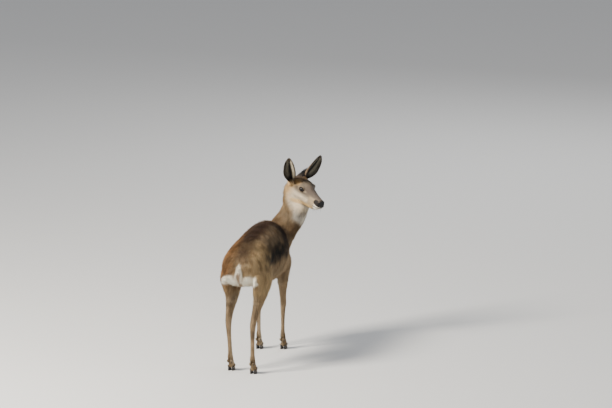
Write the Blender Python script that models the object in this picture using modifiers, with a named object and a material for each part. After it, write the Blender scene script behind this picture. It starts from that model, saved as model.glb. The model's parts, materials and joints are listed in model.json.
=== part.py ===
"""A roe deer doe in her winter coat, life size: she stands and looks back over her right side.

Metres, +Z up. She is modelled facing +Y with her midline on X = 0 and her hooves on Z = 0, and the
whole animal is then moved so that the origin lies on the floor under the middle of her box.
Every size is to the tips of the coat. The flesh is made whole, as overlapping lofts that are joined
and smoothed, and is then parted into its nodes by cuts that leave a hairline gap.
"""

import bmesh
import bpy
import numpy as np
from math import cos, pi, radians, sin
from mathutils import Matrix, Vector

# Driving sizes.
WITHERS_HEIGHT = 0.690
TRUNK_LENGTH = 0.695
HEAD_LENGTH = 0.232
EAR_LENGTH = 0.167

# How she stands: the head is turned to her right and tipped down, and one leg of each pair leads.
HEAD_TURN = radians(119.0)
HEAD_TIP = radians(26.0)
HEAD_ORIGIN = (0.088, 0.348, 0.886)
HIND_STEP = 0.022
FORE_STEP = 0.016

GAP = 0.0003
CELL = 0.005
FLESH_TRIANGLES = 3900
SECTION_POWER = 2.2
CREASE = radians(38.0)

# The trunk, station by station from the buttocks to the breast.
# along: share of the trunk's length; back and belly: shares of the withers' height;
# half_width: share of the withers' height; narrow: how much slimmer the section is above than below.
TRUNK_STATIONS = (
    # along, back,  belly, half_width, narrow
    (0.000, 0.846, 0.725, 0.092, 0.02),  # buttocks, under the tail
    (0.037, 0.894, 0.688, 0.136, 0.03),  # tail root
    (0.115, 0.944, 0.659, 0.168, 0.05),  # haunches
    (0.240, 0.990, 0.645, 0.170, 0.06),  # croup
    (0.380, 1.014, 0.626, 0.160, 0.04),  # loin and flank
    (0.520, 1.027, 0.594, 0.165, 0.03),  # last ribs
    (0.632, 1.032, 0.575, 0.170, 0.03),  # belly
    (0.730, 1.030, 0.570, 0.169, 0.05),  # ribs behind the elbow
    (0.814, 1.018, 0.577, 0.158, 0.07),  # withers
    (0.895, 0.965, 0.601, 0.133, 0.08),  # shoulders
    (0.957, 0.860, 0.645, 0.101, 0.06),  # shoulder points
    (1.000, 0.770, 0.690, 0.062, 0.04),  # breast
)
TRUNK_START = -0.372
RUMP_DOME = 0.012
BREAST_DOME = 0.012

# The stub of a tail, and the ball that parts it from the rump.
TAIL_PLACE = (0.0, TRUNK_START - 0.002, 0.548)
TAIL_RADII = (0.017, 0.014, 0.034)
TAIL_LEAN = radians(-24.0)
TAIL_CUT_PLACE = (0.0, TRUNK_START - 0.022, 0.545)
TAIL_CUT_RADII = (0.022, 0.024, 0.036)

# The neck, from inside the chest to inside the skull.
# x, y, z of its middle; twist: share of the head's turn; throat, nape and side: radii of the section.
NECK_STATIONS = (
    (0.000, 0.180, 0.435, 0.00, 0.085, 0.070, 0.070),  # between the elbows
    (0.000, 0.204, 0.505, 0.00, 0.118, 0.082, 0.086),  # deep in the chest
    (0.004, 0.222, 0.550, 0.02, 0.118, 0.084, 0.088),  # breast
    (0.020, 0.250, 0.592, 0.12, 0.102, 0.082, 0.083),  # base
    (0.054, 0.290, 0.655, 0.32, 0.080, 0.073, 0.073),  # lower third
    (0.082, 0.318, 0.710, 0.52, 0.078, 0.067, 0.069),  # middle
    (0.096, 0.334, 0.765, 0.75, 0.082, 0.064, 0.067),  # upper third
    (0.098, 0.344, 0.815, 0.92, 0.080, 0.065, 0.065),  # throat
    (0.098, 0.351, 0.858, 1.00, 0.060, 0.056, 0.057),  # behind the jaw
    (0.106, 0.348, 0.888, 1.00, 0.036, 0.032, 0.036),  # inside the skull
)

# The head, in its own frame: along from the back of the skull, as a share of the head's length;
# crown and jaw: height above and depth below the axis; half_width; all shares of the same length.
HEAD_STATIONS = (
    (0.000, 0.140, 0.130, 0.145),  # back of the skull
    (0.070, 0.205, 0.225, 0.195),  # ear roots
    (0.160, 0.246, 0.285, 0.215),  # poll and jaw angle
    (0.270, 0.260, 0.306, 0.222),  # forehead and cheek
    (0.390, 0.250, 0.298, 0.222),  # eyes
    (0.500, 0.212, 0.290, 0.190),  # below the eyes
    (0.620, 0.174, 0.274, 0.156),  # bridge of the nose
    (0.740, 0.145, 0.246, 0.130),  # muzzle
    (0.875, 0.122, 0.200, 0.114),  # nostrils and lips
    (0.965, 0.102, 0.146, 0.100),  # nose leather
    (1.003, 0.072, 0.096, 0.074),  # tip of the nose
)
# The plane that parts the head from the neck, under the jaw angle and behind the poll: a place in
# shares of the head's length, and the direction it faces, both in the head's frame. The plane that
# parts the neck from the trunk is in the animal's frame.
HEAD_CUT_PLACE = (0.254, 0.0, -0.328)
HEAD_CUT_FACING = (0.40, 0.0, 0.92)
NECK_CUT_PLACE = (0.0, 0.300, 0.640)
NECK_CUT_FACING = (0.10, 0.62, 0.78)
SKULL_DOME = 0.012
NOSE_DOME = 0.006
EYE_RADIUS = 0.0132
EYE_PLACE = (0.430, 0.168, 0.112)  # along, to the side, up: shares of the head's length
BROW = (0.400, 0.200, 0.160)
BROW_SIZE = 0.020
BROW_RISE = 0.0045
CHEEK = (0.250, 0.205, -0.110)
CHEEK_SIZE = 0.034
CHEEK_RISE = 0.004
EAR_MUSCLE = (0.115, 0.135, 0.210)
EAR_MUSCLE_SIZE = 0.022
EAR_MUSCLE_RISE = 0.010

# Ears, in the head's frame. root: where the ear starts, in shares of the head's length; splay: how
# far it leans out; lean: how far it leans back; swing: where its mouth faces, from straight ahead
# towards its own side. The right ear is turned out, and the left one is pricked ahead.
EARS = {
    "left": {
        "side": 1,
        "root": (0.050, 0.138, 0.072),
        "splay": radians(25.0),
        "lean": radians(-8.0),
        "swing": radians(-12.0),
    },
    "right": {
        "side": -1,
        "root": (0.090, 0.168, 0.072),
        "splay": radians(27.0),
        "lean": radians(5.0),
        "swing": radians(48.0),
    },
}
# along, half width of the leaf laid flat, and how far round the cup it wraps, in turns.
EAR_STATIONS = (
    (0.00, 0.022, 0.430),
    (0.10, 0.028, 0.410),
    (0.24, 0.038, 0.330),
    (0.38, 0.044, 0.260),
    (0.52, 0.045, 0.220),
    (0.66, 0.040, 0.200),
    (0.80, 0.032, 0.180),
    (0.92, 0.020, 0.160),
    (1.00, 0.007, 0.150),
)
EAR_THICKNESS = 0.0055
EAR_CURL_BACK = 0.010

# Legs, as level slices for a right leg that stands square. Her right is +X.
# z, middle x, front edge y, rear edge y, half thickness.
FORELEG_SLICES = (
    (0.575, 0.060, 0.245, 0.158, 0.024),  # shoulder blade
    (0.525, 0.066, 0.276, 0.134, 0.034),  # shoulder
    (0.470, 0.070, 0.296, 0.132, 0.036),  # upper arm
    (0.410, 0.069, 0.264, 0.146, 0.031),  # elbow
    (0.350, 0.067, 0.244, 0.170, 0.0235),  # forearm
    (0.290, 0.065, 0.236, 0.190, 0.0185),  # above the knee
    (0.248, 0.065, 0.238, 0.198, 0.0175),  # knee
    (0.215, 0.064, 0.232, 0.197, 0.0145),  # below the knee
    (0.150, 0.063, 0.228, 0.200, 0.0120),  # cannon
    (0.100, 0.062, 0.229, 0.199, 0.0130),  # above the fetlock
    (0.076, 0.062, 0.232, 0.197, 0.0160),  # fetlock
    (0.056, 0.062, 0.240, 0.206, 0.0150),  # pastern
    (0.038, 0.062, 0.250, 0.213, 0.0165),  # coronet
    (0.016, 0.062, 0.250, 0.213, 0.0160),  # under the hoof's top
)
HINDLEG_SLICES = (
    (0.600, 0.060, -0.180, -0.280, 0.026),  # hip
    (0.560, 0.075, -0.135, -0.335, 0.040),  # upper thigh
    (0.505, 0.083, -0.108, -0.366, 0.044),  # thigh
    (0.450, 0.083, -0.104, -0.342, 0.041),  # stifle
    (0.395, 0.078, -0.142, -0.322, 0.031),  # upper gaskin
    (0.345, 0.075, -0.210, -0.336, 0.0225),  # gaskin
    (0.300, 0.072, -0.276, -0.360, 0.0180),  # above the hock
    (0.268, 0.070, -0.312, -0.366, 0.0175),  # hock
    (0.230, 0.069, -0.324, -0.362, 0.0150),  # below the hock
    (0.160, 0.067, -0.322, -0.352, 0.0130),  # cannon
    (0.104, 0.066, -0.316, -0.347, 0.0138),  # above the fetlock
    (0.078, 0.066, -0.312, -0.349, 0.0165),  # fetlock
    (0.056, 0.066, -0.301, -0.338, 0.0155),  # pastern
    (0.038, 0.066, -0.290, -0.329, 0.0170),  # coronet
    (0.016, 0.066, -0.290, -0.329, 0.0165),  # under the hoof's top
)
PASTERN_ROW = -3
CORONET_ROW = -2
HOCK_CUT = 0.305

# Hooves: two claws to a foot, and two dew claws behind the fetlock.
HOOF_LENGTH = 0.050
HOOF_HALF_WIDTH = 0.0185
HOOF_SPLIT = 0.0011
HOOF_AHEAD = 0.012  # of the coronet's front edge
HOOF_TAPER = 0.20  # how much shorter the top of a claw is than its sole
CORONET_FRONT = 0.034
CORONET_HEEL = 0.022
DEWCLAW_HEIGHT = 0.055
DEWCLAW_RADII = (0.0062, 0.0075, 0.0125)
DEWCLAW_LEAN = radians(38.0)
DEWCLAW_SPREAD = 0.0085
DEWCLAW_SET_BACK = 0.002  # behind the pastern's rear edge

COAT_BROWN = (0.20, 0.135, 0.075)
FACE_GREY = (0.36, 0.31, 0.24)
RUMP_WHITE = (0.72, 0.65, 0.52)
HORN_BLACK = (0.022, 0.019, 0.017)
EYE_DARK = (0.010, 0.007, 0.006)


# ---------------------------------------------------------------- helpers


def clear_scene():
    """Remove every object that the start-up scene holds."""
    for obj in list(bpy.data.objects):
        bpy.data.objects.remove(obj, do_unlink=True)


def collection(name):
    """A new collection in the scene."""
    made = bpy.data.collections.new(name)
    bpy.context.scene.collection.children.link(made)
    return made


def material(name, color, roughness):
    """A plain Principled material."""
    made = bpy.data.materials.new(name)
    made.use_nodes = True
    shader = made.node_tree.nodes["Principled BSDF"]
    shader.inputs["Base Color"].default_value = (*color, 1.0)
    shader.inputs["Roughness"].default_value = roughness
    made.diffuse_color = (*color, 1.0)
    return made


def smooth_rows(rows, count, places=1):
    """`count` rows on a smooth curve through the given ones (cubic Hermite, three-point slopes).

    The curve's parameter is the distance travelled in the first `places` columns.
    """
    rows = np.array(rows, float)
    step = np.linalg.norm(np.diff(rows[:, :places], axis=0), axis=1)
    knot = np.concatenate([[0.0], np.cumsum(step)])
    slope = np.gradient(rows, knot, axis=0)
    at = np.linspace(0.0, knot[-1], count)
    low = np.clip(np.searchsorted(knot, at, side="right") - 1, 0, len(rows) - 2)
    width = (knot[low + 1] - knot[low])[:, None]
    t = ((at - knot[low]) / width[:, 0])[:, None]
    start, end = rows[low], rows[low + 1]
    leave, reach = slope[low] * width, slope[low + 1] * width
    return (
        start * (2 * t**3 - 3 * t**2 + 1)
        + leave * (t**3 - 2 * t**2 + t)
        + end * (3 * t**2 - 2 * t**3)
        + reach * (t**3 - t**2)
    )


def section(sides, power=SECTION_POWER):
    """A closed superellipse of radius 1: `sides` points, counter-clockwise from +X."""
    angle = np.arange(sides) * 2 * pi / sides
    c, s = np.cos(angle), np.sin(angle)
    return np.sign(c) * np.abs(c) ** (2 / power), np.sign(s) * np.abs(s) ** (2 / power)


def domed(rings, depth, first):
    """Rings that close one end of a tube as a rounded dome of that depth."""
    end, inner = (rings[0], rings[1]) if first else (rings[-1], rings[-2])
    middle = end.mean(0)
    out = middle - inner.mean(0)
    out = out / np.linalg.norm(out)
    made = []
    for angle in np.radians((22, 42, 60, 76)):
        made.append(middle + (end - middle) * cos(angle) + out * depth * sin(angle))
    return made[::-1] if first else made


def tube(name, rings, start_dome=0.0, end_dome=0.0):
    """A closed mesh object through a list of rings, with flat or domed ends."""
    rings = list(rings)
    before = domed(rings, start_dome, True) if start_dome else []
    after = domed(rings, end_dome, False) if end_dome else []
    rings = before + rings + after
    sides = len(rings[0])
    faces = []
    for i in range(len(rings) - 1):
        for j in range(sides):
            k = (j + 1) % sides
            faces.append((i * sides + j, i * sides + k, (i + 1) * sides + k, (i + 1) * sides + j))
    faces.append(tuple(range(sides))[::-1])
    faces.append(tuple(range((len(rings) - 1) * sides, len(rings) * sides)))
    mesh = bpy.data.meshes.new(name)
    mesh.from_pydata(np.concatenate(rings).tolist(), [], faces)
    return outward(link(name, mesh))


def link(name, mesh):
    """A new object for a mesh, in the part's collection."""
    obj = bpy.data.objects.new(name, mesh)
    DEER.objects.link(obj)
    return obj


def outward(obj):
    """Triangulated, with every face turned outwards."""
    bm = bmesh.new()
    bm.from_mesh(obj.data)
    bmesh.ops.remove_doubles(bm, verts=bm.verts, dist=1e-6)
    bmesh.ops.triangulate(bm, faces=bm.faces)
    bmesh.ops.recalc_face_normals(bm, faces=bm.faces)
    bm.to_mesh(obj.data)
    bm.free()
    return obj


def applied(obj):
    """The object with its modifiers made real."""
    bpy.context.view_layer.update()
    graph = bpy.context.evaluated_depsgraph_get()
    mesh = bpy.data.meshes.new_from_object(obj.evaluated_get(graph))
    obj.modifiers.clear()
    old = obj.data
    obj.data = mesh
    bpy.data.meshes.remove(old)
    return obj


def boolean(obj, other, operation, keep_other=False):
    """Join, cut or intersect obj with other."""
    modifier = obj.modifiers.new(operation.title(), "BOOLEAN")
    modifier.object = other
    modifier.operation = operation
    applied(obj)
    if not keep_other:
        bpy.data.objects.remove(other, do_unlink=True)
    return obj


def copy_of(obj, name):
    """A second object with its own copy of the mesh."""
    return link(name, obj.data.copy())


def primitive(name, make, matrix, **sizes):
    """A closed bmesh primitive placed by a matrix."""
    bm = bmesh.new()
    make(bm, matrix=matrix, **sizes)
    mesh = bpy.data.meshes.new(name)
    bm.to_mesh(mesh)
    bm.free()
    return outward(link(name, mesh))


def ball(name, middle, radii, segments=12, rings=8):
    """An ellipsoid."""
    matrix = Matrix.Translation(middle) @ Matrix.Diagonal((*radii, 1.0))
    return primitive(
        name, bmesh.ops.create_uvsphere, matrix, u_segments=segments, v_segments=rings, radius=1.0
    )


def block(name, point, normal, size, grow=0.0):
    """A cube that stands on the plane through point, on the side that normal points to, grown all round."""
    turn = Vector(normal).to_track_quat("Z", "Y").to_matrix().to_4x4()
    lift = Matrix.Translation((0, 0, size / 2))
    matrix = Matrix.Translation(point) @ turn @ lift
    return primitive(name, bmesh.ops.create_cube, matrix, size=size + 2 * grow)


# ---------------------------------------------------------------- the body's forms


def head_matrix():
    """The head's frame: X towards the nose, Y to her left, Z towards the crown."""
    ahead = Vector((sin(HEAD_TURN), cos(HEAD_TURN), 0.0)) * cos(HEAD_TIP)
    ahead.z = -sin(HEAD_TIP)
    left = Vector((-cos(HEAD_TURN), sin(HEAD_TURN), 0.0))
    crown = ahead.cross(left)
    turn = Matrix((ahead, left, crown)).transposed().to_4x4()
    return Matrix.Translation(HEAD_ORIGIN) @ turn


def on_head(shares, side=1):
    """A place on the head, from shares of its length, in the animal's frame."""
    along, out, up = (HEAD_LENGTH * share for share in shares)
    return head_matrix() @ Vector((along, side * out, up))


def swell(points, middle, size, rise, away_from):
    """Move points outwards by a soft bump of that size and rise round a place."""
    middle = np.array(middle)
    reach = np.linalg.norm(points - middle, axis=-1, keepdims=True)
    out = points - np.array(away_from)
    out = out / np.linalg.norm(out, axis=-1, keepdims=True)
    return points + out * rise * np.exp(-((reach / size) ** 2))


def trunk():
    """Upright sections from the buttocks to the breast."""
    x, z = section(32)
    rings = []
    for along, back, belly, half_width, narrow in smooth_rows(TRUNK_STATIONS, 44):
        top, bottom = back * WITHERS_HEIGHT, belly * WITHERS_HEIGHT
        middle, half = (top + bottom) / 2, (top - bottom) / 2
        across = half_width * WITHERS_HEIGHT * x * (1 - narrow * z)
        place = np.full(len(x), TRUNK_START + TRUNK_LENGTH * along)
        rings.append(np.stack([across, place, middle + half * z], 1))
    return tube("trunk", rings, RUMP_DOME, BREAST_DOME)


def neck():
    """Sections square to the neck's own line, which turn with it towards the head."""
    x, z = section(28, 2.0)
    rows = smooth_rows(NECK_STATIONS, 36, places=3)
    line = rows[:, :3]
    along = np.gradient(line, axis=0)
    along /= np.linalg.norm(along, axis=1, keepdims=True)
    rings = []
    for middle, axis, (twist, throat, nape, side) in zip(line, along, rows[:, 3:]):
        turn = twist * HEAD_TURN
        front = np.array((sin(turn), cos(turn), 0.0))
        front = front - axis * (front @ axis)
        front /= np.linalg.norm(front)
        left = np.cross(axis, front)
        deep = np.where(z > 0, throat, nape) * z
        rings.append(middle + np.outer(deep, front) + np.outer(side * x, left))
    return tube("neck", rings, 0.01, 0.012)


def head():
    """Sections square to the head's axis, with brows, cheeks and the ears' muscles swelled out."""
    y, z = section(32)
    rings = []
    for along, crown, jaw, half_width in smooth_rows(HEAD_STATIONS, 40):
        high = np.where(z > 0, crown, jaw) * HEAD_LENGTH * z
        wide = half_width * HEAD_LENGTH * y * (1 - 0.12 * np.abs(z) * (z < 0))
        rings.append(np.stack([np.full(len(y), along * HEAD_LENGTH), wide, high], 1))
    shaped = []
    for ring in rings:
        axis = (ring[0, 0], 0.0, 0.0)
        for side in (1, -1):
            flip = np.array((1, side, 1)) * HEAD_LENGTH
            ring = swell(ring, np.array(BROW) * flip, BROW_SIZE, BROW_RISE, axis)
            ring = swell(ring, np.array(CHEEK) * flip, CHEEK_SIZE, CHEEK_RISE, axis)
            ring = swell(ring, np.array(EAR_MUSCLE) * flip, EAR_MUSCLE_SIZE, EAR_MUSCLE_RISE, axis)
        shaped.append(ring)
    made = tube("head", shaped, SKULL_DOME, NOSE_DOME)
    made.data.transform(head_matrix())
    return made


def lead_at(slices, step, row):
    """How far a leg's step carries one of its slices forward."""
    return step * (1 - slices[row][0] / slices[0][0])


def leg(name, slices, side, step):
    """Level sections from the body down to the hoof, moved forward by step as they near the floor."""
    x, y = section(20, 2.1)
    rings = []
    for height, middle, front, rear, half in smooth_rows(slices, 64):
        lead = step * (1 - height / slices[0][0])
        across = side * (middle + half * x)
        along = (front + rear) / 2 + (front - rear) / 2 * y + lead
        rings.append(np.stack([across, along, np.full(len(x), height)], 1))
    return tube(name, rings, 0.02, 0.0)


def tail():
    """The stub of a tail, which barely shows in the white hair of the rump."""
    lean = Matrix.Rotation(TAIL_LEAN, 4, "X")
    matrix = Matrix.Translation(TAIL_PLACE) @ lean @ Matrix.Diagonal((*TAIL_RADII, 1.0))
    return primitive(
        "tail_form", bmesh.ops.create_uvsphere, matrix, u_segments=20, v_segments=14, radius=1.0
    )


LEGS = {
    "foreleg_left": (FORELEG_SLICES, -1, -FORE_STEP),
    "foreleg_right": (FORELEG_SLICES, 1, FORE_STEP),
    "hindleg_left": (HINDLEG_SLICES, -1, HIND_STEP),
    "hindleg_right": (HINDLEG_SLICES, 1, -HIND_STEP),
}


def whole_flesh():
    """Trunk, neck, head, tail and legs grown into one smooth body."""
    body = trunk()
    forms = [neck(), head(), tail()]
    forms += [leg(name + "_form", *shape) for name, shape in LEGS.items()]
    for form in forms:
        boolean(body, form, "UNION")
    grown = body.modifiers.new("Grow together", "REMESH")
    grown.mode = "VOXEL"
    grown.voxel_size = CELL
    soft = body.modifiers.new("Soften the joins", "SMOOTH")
    soft.factor = 0.5
    soft.iterations = 8
    applied(body)
    fewer = body.modifiers.new("Fewer faces", "DECIMATE")
    fewer.ratio = FLESH_TRIANGLES / (2 * len(body.data.polygons))
    return outward(applied(body))


# ---------------------------------------------------------------- cuts


def parted(flesh, name, zone, clear_zone):
    """Take what lies in zone off the flesh as a node, and clear the flesh back by the gap."""
    piece = boolean(copy_of(flesh, name), zone, "INTERSECT")
    boolean(flesh, clear_zone, "DIFFERENCE")
    return largest_only(outward(piece))


def largest_only(obj):
    """Drop any crumb that a cut left beside the main body."""
    bm = bmesh.new()
    bm.from_mesh(obj.data)
    left = set(bm.verts)
    groups = []
    while left:
        group, edge = set(), [left.pop()]
        while edge:
            vert = edge.pop()
            group.add(vert)
            near = {e.other_vert(vert) for e in vert.link_edges} & left
            left -= near
            edge += near
        groups.append(group)
    groups.sort(key=len)
    for group in groups[:-1]:
        bmesh.ops.delete(bm, geom=list(group), context="VERTS")
    bm.to_mesh(obj.data)
    bm.free()
    return obj


def cleared(obj, neighbour):
    """Cut obj back so that it stands just clear of its neighbour's surface."""
    clear = copy_of(neighbour, "clear")
    grown = clear.modifiers.new("Gap", "DISPLACE")
    grown.strength = 2 * GAP
    grown.mid_level = 0.0
    boolean(obj, applied(clear), "DIFFERENCE")
    return largest_only(outward(obj))


def leg_zone(name, middle, radii, grow):
    """A tall egg round a leg: round over the shoulder or haunch, and nearly straight down to the floor."""
    across, along, up = (radius + grow for radius in radii)
    egg = ball(name, (0, 0, 0), (across, along, up))
    for vert in egg.data.vertices:
        if vert.co.z < 0:
            vert.co.z *= EGG_STRETCH
    egg.data.transform(Matrix.Translation(middle))
    return egg


# Where a right leg is parted from the trunk: the middle and radii of a tall egg round it.
HAUNCH = ((0.112, -0.232, 0.452), (0.104, 0.172, 0.165))
SHOULDER = ((0.112, 0.212, 0.440), (0.086, 0.112, 0.160))
EGG_STRETCH = 8.0


def part_legs(flesh):
    """Each leg with its shoulder or haunch; a hindleg is parted again at the hock, where it bends."""
    pieces, shanks = [], {}
    for name, (_, side, _) in LEGS.items():
        hind = name.startswith("hind")
        (across, along, up), radii = HAUNCH if hind else SHOULDER
        middle = (across * side, along, up)
        zone = leg_zone("zone", middle, radii, 0.0)
        limb = parted(flesh, name, zone, leg_zone("clear", middle, radii, GAP))
        pieces.append(limb)
        shanks[name] = limb
        if hind:
            below = block("below", (0, 0, HOCK_CUT), (0, 0, -1), 2.0)
            clear = block("clear", (0, 0, HOCK_CUT), (0, 0, -1), 2.0, GAP)
            shanks[name] = parted(limb, name + "_lower", below, clear)
            pieces.append(shanks[name])
            limb.name = name + "_upper"
            outward(limb)
    return pieces, shanks


def part_head(flesh):
    """The head, cut from the neck on a plane from behind the ears to the throat."""
    normal = head_matrix().to_3x3() @ Vector(HEAD_CUT_FACING)
    point = on_head(HEAD_CUT_PLACE)
    zone = block("zone", point, normal, 0.30)
    return parted(flesh, "head", zone, block("clear", point, normal, 0.30, GAP))


def part_neck(flesh):
    """The neck, cut from the trunk on a plane from the withers to the breast."""
    zone = block("zone", NECK_CUT_PLACE, NECK_CUT_FACING, 0.60)
    return parted(flesh, "neck", zone, block("clear", NECK_CUT_PLACE, NECK_CUT_FACING, 0.60, GAP))


def part_tail(flesh):
    """The tail, cut from the rump by a small ball round it."""
    zone = ball("zone", TAIL_CUT_PLACE, TAIL_CUT_RADII)
    clear = ball("clear", TAIL_CUT_PLACE, [radius + GAP for radius in TAIL_CUT_RADII])
    return parted(flesh, "tail", zone, clear)


# ---------------------------------------------------------------- eyes, ears and hooves


def eyes(skull):
    """Two eyeballs in sockets that clear them by the gap."""
    made = []
    for name, side in (("eye_left", 1), ("eye_right", -1)):
        place = on_head(EYE_PLACE, side)
        socket = ball("socket", place, (EYE_RADIUS + GAP,) * 3)
        boolean(skull, socket, "DIFFERENCE")
        made.append(ball(name, place, (EYE_RADIUS,) * 3))
    outward(skull)
    return made


def ear(name, side, root, splay, lean, swing):
    """A leaf rolled into a cup: an open surface given its thickness."""
    rows = smooth_rows(EAR_STATIONS, 11)
    across = np.linspace(-1, 1, 9)
    points = []
    for along, half_width, wrap in rows:
        reach = max(wrap, 0.02) * 2 * pi
        radius = half_width / reach
        angle = across * reach
        back = -radius * np.cos(angle) + radius - EAR_CURL_BACK * along**2
        points.append(
            np.stack([back, radius * np.sin(angle), np.full(len(across), along * EAR_LENGTH)], 1)
        )
    grid = np.array(points)
    rows_up, rows_over = grid.shape[:2]
    faces = []
    for i in range(rows_up - 1):
        for j in range(rows_over - 1):
            k = i * rows_over + j
            faces.append((k, k + 1, k + rows_over + 1, k + rows_over))
    mesh = bpy.data.meshes.new(name)
    mesh.from_pydata(grid.reshape(-1, 3).tolist(), [], faces)
    made = link(name, mesh)
    shell = made.modifiers.new("Thickness", "SOLIDIFY")
    shell.thickness = EAR_THICKNESS
    shell.offset = 0.0
    applied(made)
    tilt = Matrix.Rotation(-side * splay, 4, "X") @ Matrix.Rotation(-lean, 4, "Y")
    face = Matrix.Rotation(side * swing, 4, "Z")
    start = Vector([share * HEAD_LENGTH for share in root])
    start.y *= side
    made.data.transform(head_matrix() @ Matrix.Translation(start) @ tilt @ face)
    return outward(made)


def ears(skull):
    """Both ears, cut off just clear of the head's surface."""
    made = []
    for name, shape in EARS.items():
        leaf = ear("ear_" + name, **shape)
        made.append(cleared(leaf, skull))
    return made


def coronet(place):
    """Height of the hoof's top at a share of its length, from heel to toe."""
    return CORONET_HEEL + (CORONET_FRONT - CORONET_HEEL) * place


def claw(name, middle_x, toe_y, side):
    """One half of a cloven hoof: a flat pointed sole drawn in and back to a round top."""
    angle = np.arange(14) * 2 * pi / 14
    along = 0.5 + 0.5 * np.cos(angle)
    blunt = np.sin(angle) * (1 - 0.45 * along**3)
    rings = []
    for lift in (0.0, 0.16, 1.0):
        length = HOOF_LENGTH * (1 - HOOF_TAPER * lift)
        width = HOOF_HALF_WIDTH * (0.96 + 0.04 * lift - 0.05 * (lift == 0))
        y = toe_y - HOOF_LENGTH + HOOF_LENGTH * 0.03 * lift + along * length
        outer = (blunt + 1) / 2 * width
        x = middle_x + side * (HOOF_SPLIT + outer)
        height = lift * (coronet(along) - GAP)
        rings.append(np.stack([x, y, height + 0 * x], 1))
    return tube(name, rings)


def feet(shanks):
    """Claws and dew claws for each leg, and the leg trimmed to sit on them."""
    made = []
    for name, (slices, side, step) in LEGS.items():
        _, middle, front, _, _ = slices[CORONET_ROW]
        toe = front + lead_at(slices, step, CORONET_ROW) + HOOF_AHEAD
        rise = (CORONET_FRONT - CORONET_HEEL) / (HOOF_LENGTH * (1 - HOOF_TAPER))
        heel = (0.0, toe - HOOF_LENGTH, CORONET_HEEL + GAP)
        shank = boolean(shanks[name], block("below", heel, (0.0, rise, -1.0), 1.0), "DIFFERENCE")
        largest_only(outward(shank))
        foot = name.replace("leg", "")
        for inner, word in ((-1, "inner"), (1, "outer")):
            made.append(claw(f"hoof_{foot}_{word}", side * middle, toe, side * inner))
            horn = dewclaw(f"dewclaw_{foot}_{word}", slices, side, inner, step)
            made.append(cleared(horn, shank))
    return made


def dewclaw(name, slices, side, inner, step):
    """A small blunt cone of horn that points down behind the fetlock."""
    _, middle, _, rear, _ = slices[PASTERN_ROW]
    across = side * (middle + inner * DEWCLAW_SPREAD)
    along = rear + lead_at(slices, step, PASTERN_ROW) - DEWCLAW_SET_BACK
    place = Matrix.Translation((across, along, DEWCLAW_HEIGHT))
    matrix = place @ Matrix.Rotation(DEWCLAW_LEAN, 4, "X") @ Matrix.Diagonal((*DEWCLAW_RADII, 1.0))
    return primitive(
        name, bmesh.ops.create_uvsphere, matrix, u_segments=7, v_segments=5, radius=1.0
    )


# ---------------------------------------------------------------- the deer


def centred(nodes):
    """Move everything so that the origin is on the floor under the middle of the whole box."""
    corners = np.concatenate([np.array([v.co for v in obj.data.vertices]) for obj in nodes])
    middle = (corners.min(0) + corners.max(0)) / 2
    for obj in nodes:
        obj.data.transform(Matrix.Translation((-middle[0], -middle[1], 0.0)))


def finish_node(obj, look):
    """Material and shading for a node."""
    obj.data.materials.clear()
    obj.data.materials.append(look)
    obj.data.shade_smooth()
    obj.data.set_sharp_from_angle(angle=CREASE)


def main():
    flesh = whole_flesh()
    skull = part_head(flesh)
    throat = part_neck(flesh)
    stub = part_tail(flesh)
    limbs, shanks = part_legs(flesh)
    flesh.name = "trunk"
    largest_only(outward(flesh))
    balls = eyes(skull)
    leaves = ears(skull)
    horn = feet(shanks)
    coat = material("coat_brown", COAT_BROWN, 0.9)
    face = material("face_grey", FACE_GREY, 0.9)
    white = material("rump_white", RUMP_WHITE, 0.9)
    black = material("hoof_horn", HORN_BLACK, 0.4)
    dark = material("eye_dark", EYE_DARK, 0.05)
    looks = [(flesh, coat), (throat, coat), (stub, white), (skull, face)]
    looks += [(piece, coat) for piece in limbs] + [(leaf, face) for leaf in leaves]
    looks += [(eyeball, dark) for eyeball in balls] + [(piece, black) for piece in horn]
    for obj, look in looks:
        finish_node(obj, look)
    centred([obj for obj, _ in looks])


clear_scene()
DEER = collection("roe_deer")
main()
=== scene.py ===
# %% [markdown]
# # A roe deer doe who stops and looks back
#
# A roe deer is small, barely hip-high on a person, and in winter she wears a thick grey-brown coat
# with a cream patch on the rump. We build her in three layers, as a taxidermist does: a smooth body
# under the hair, a skin with its folds, lids and nostrils, and then the coat, hair by hair. She could
# be sculpted freely instead, but here all of it is worked out from named sizes, so a change to one
# number carries through. The solid model that she dresses is loaded first. It gives the place of every
# part, and it is never moved or changed.

import bpy
import json
import numpy as np
from math import cos, pi, radians, sin
from mathutils import Matrix, Vector
from numpy.linalg import norm

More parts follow.
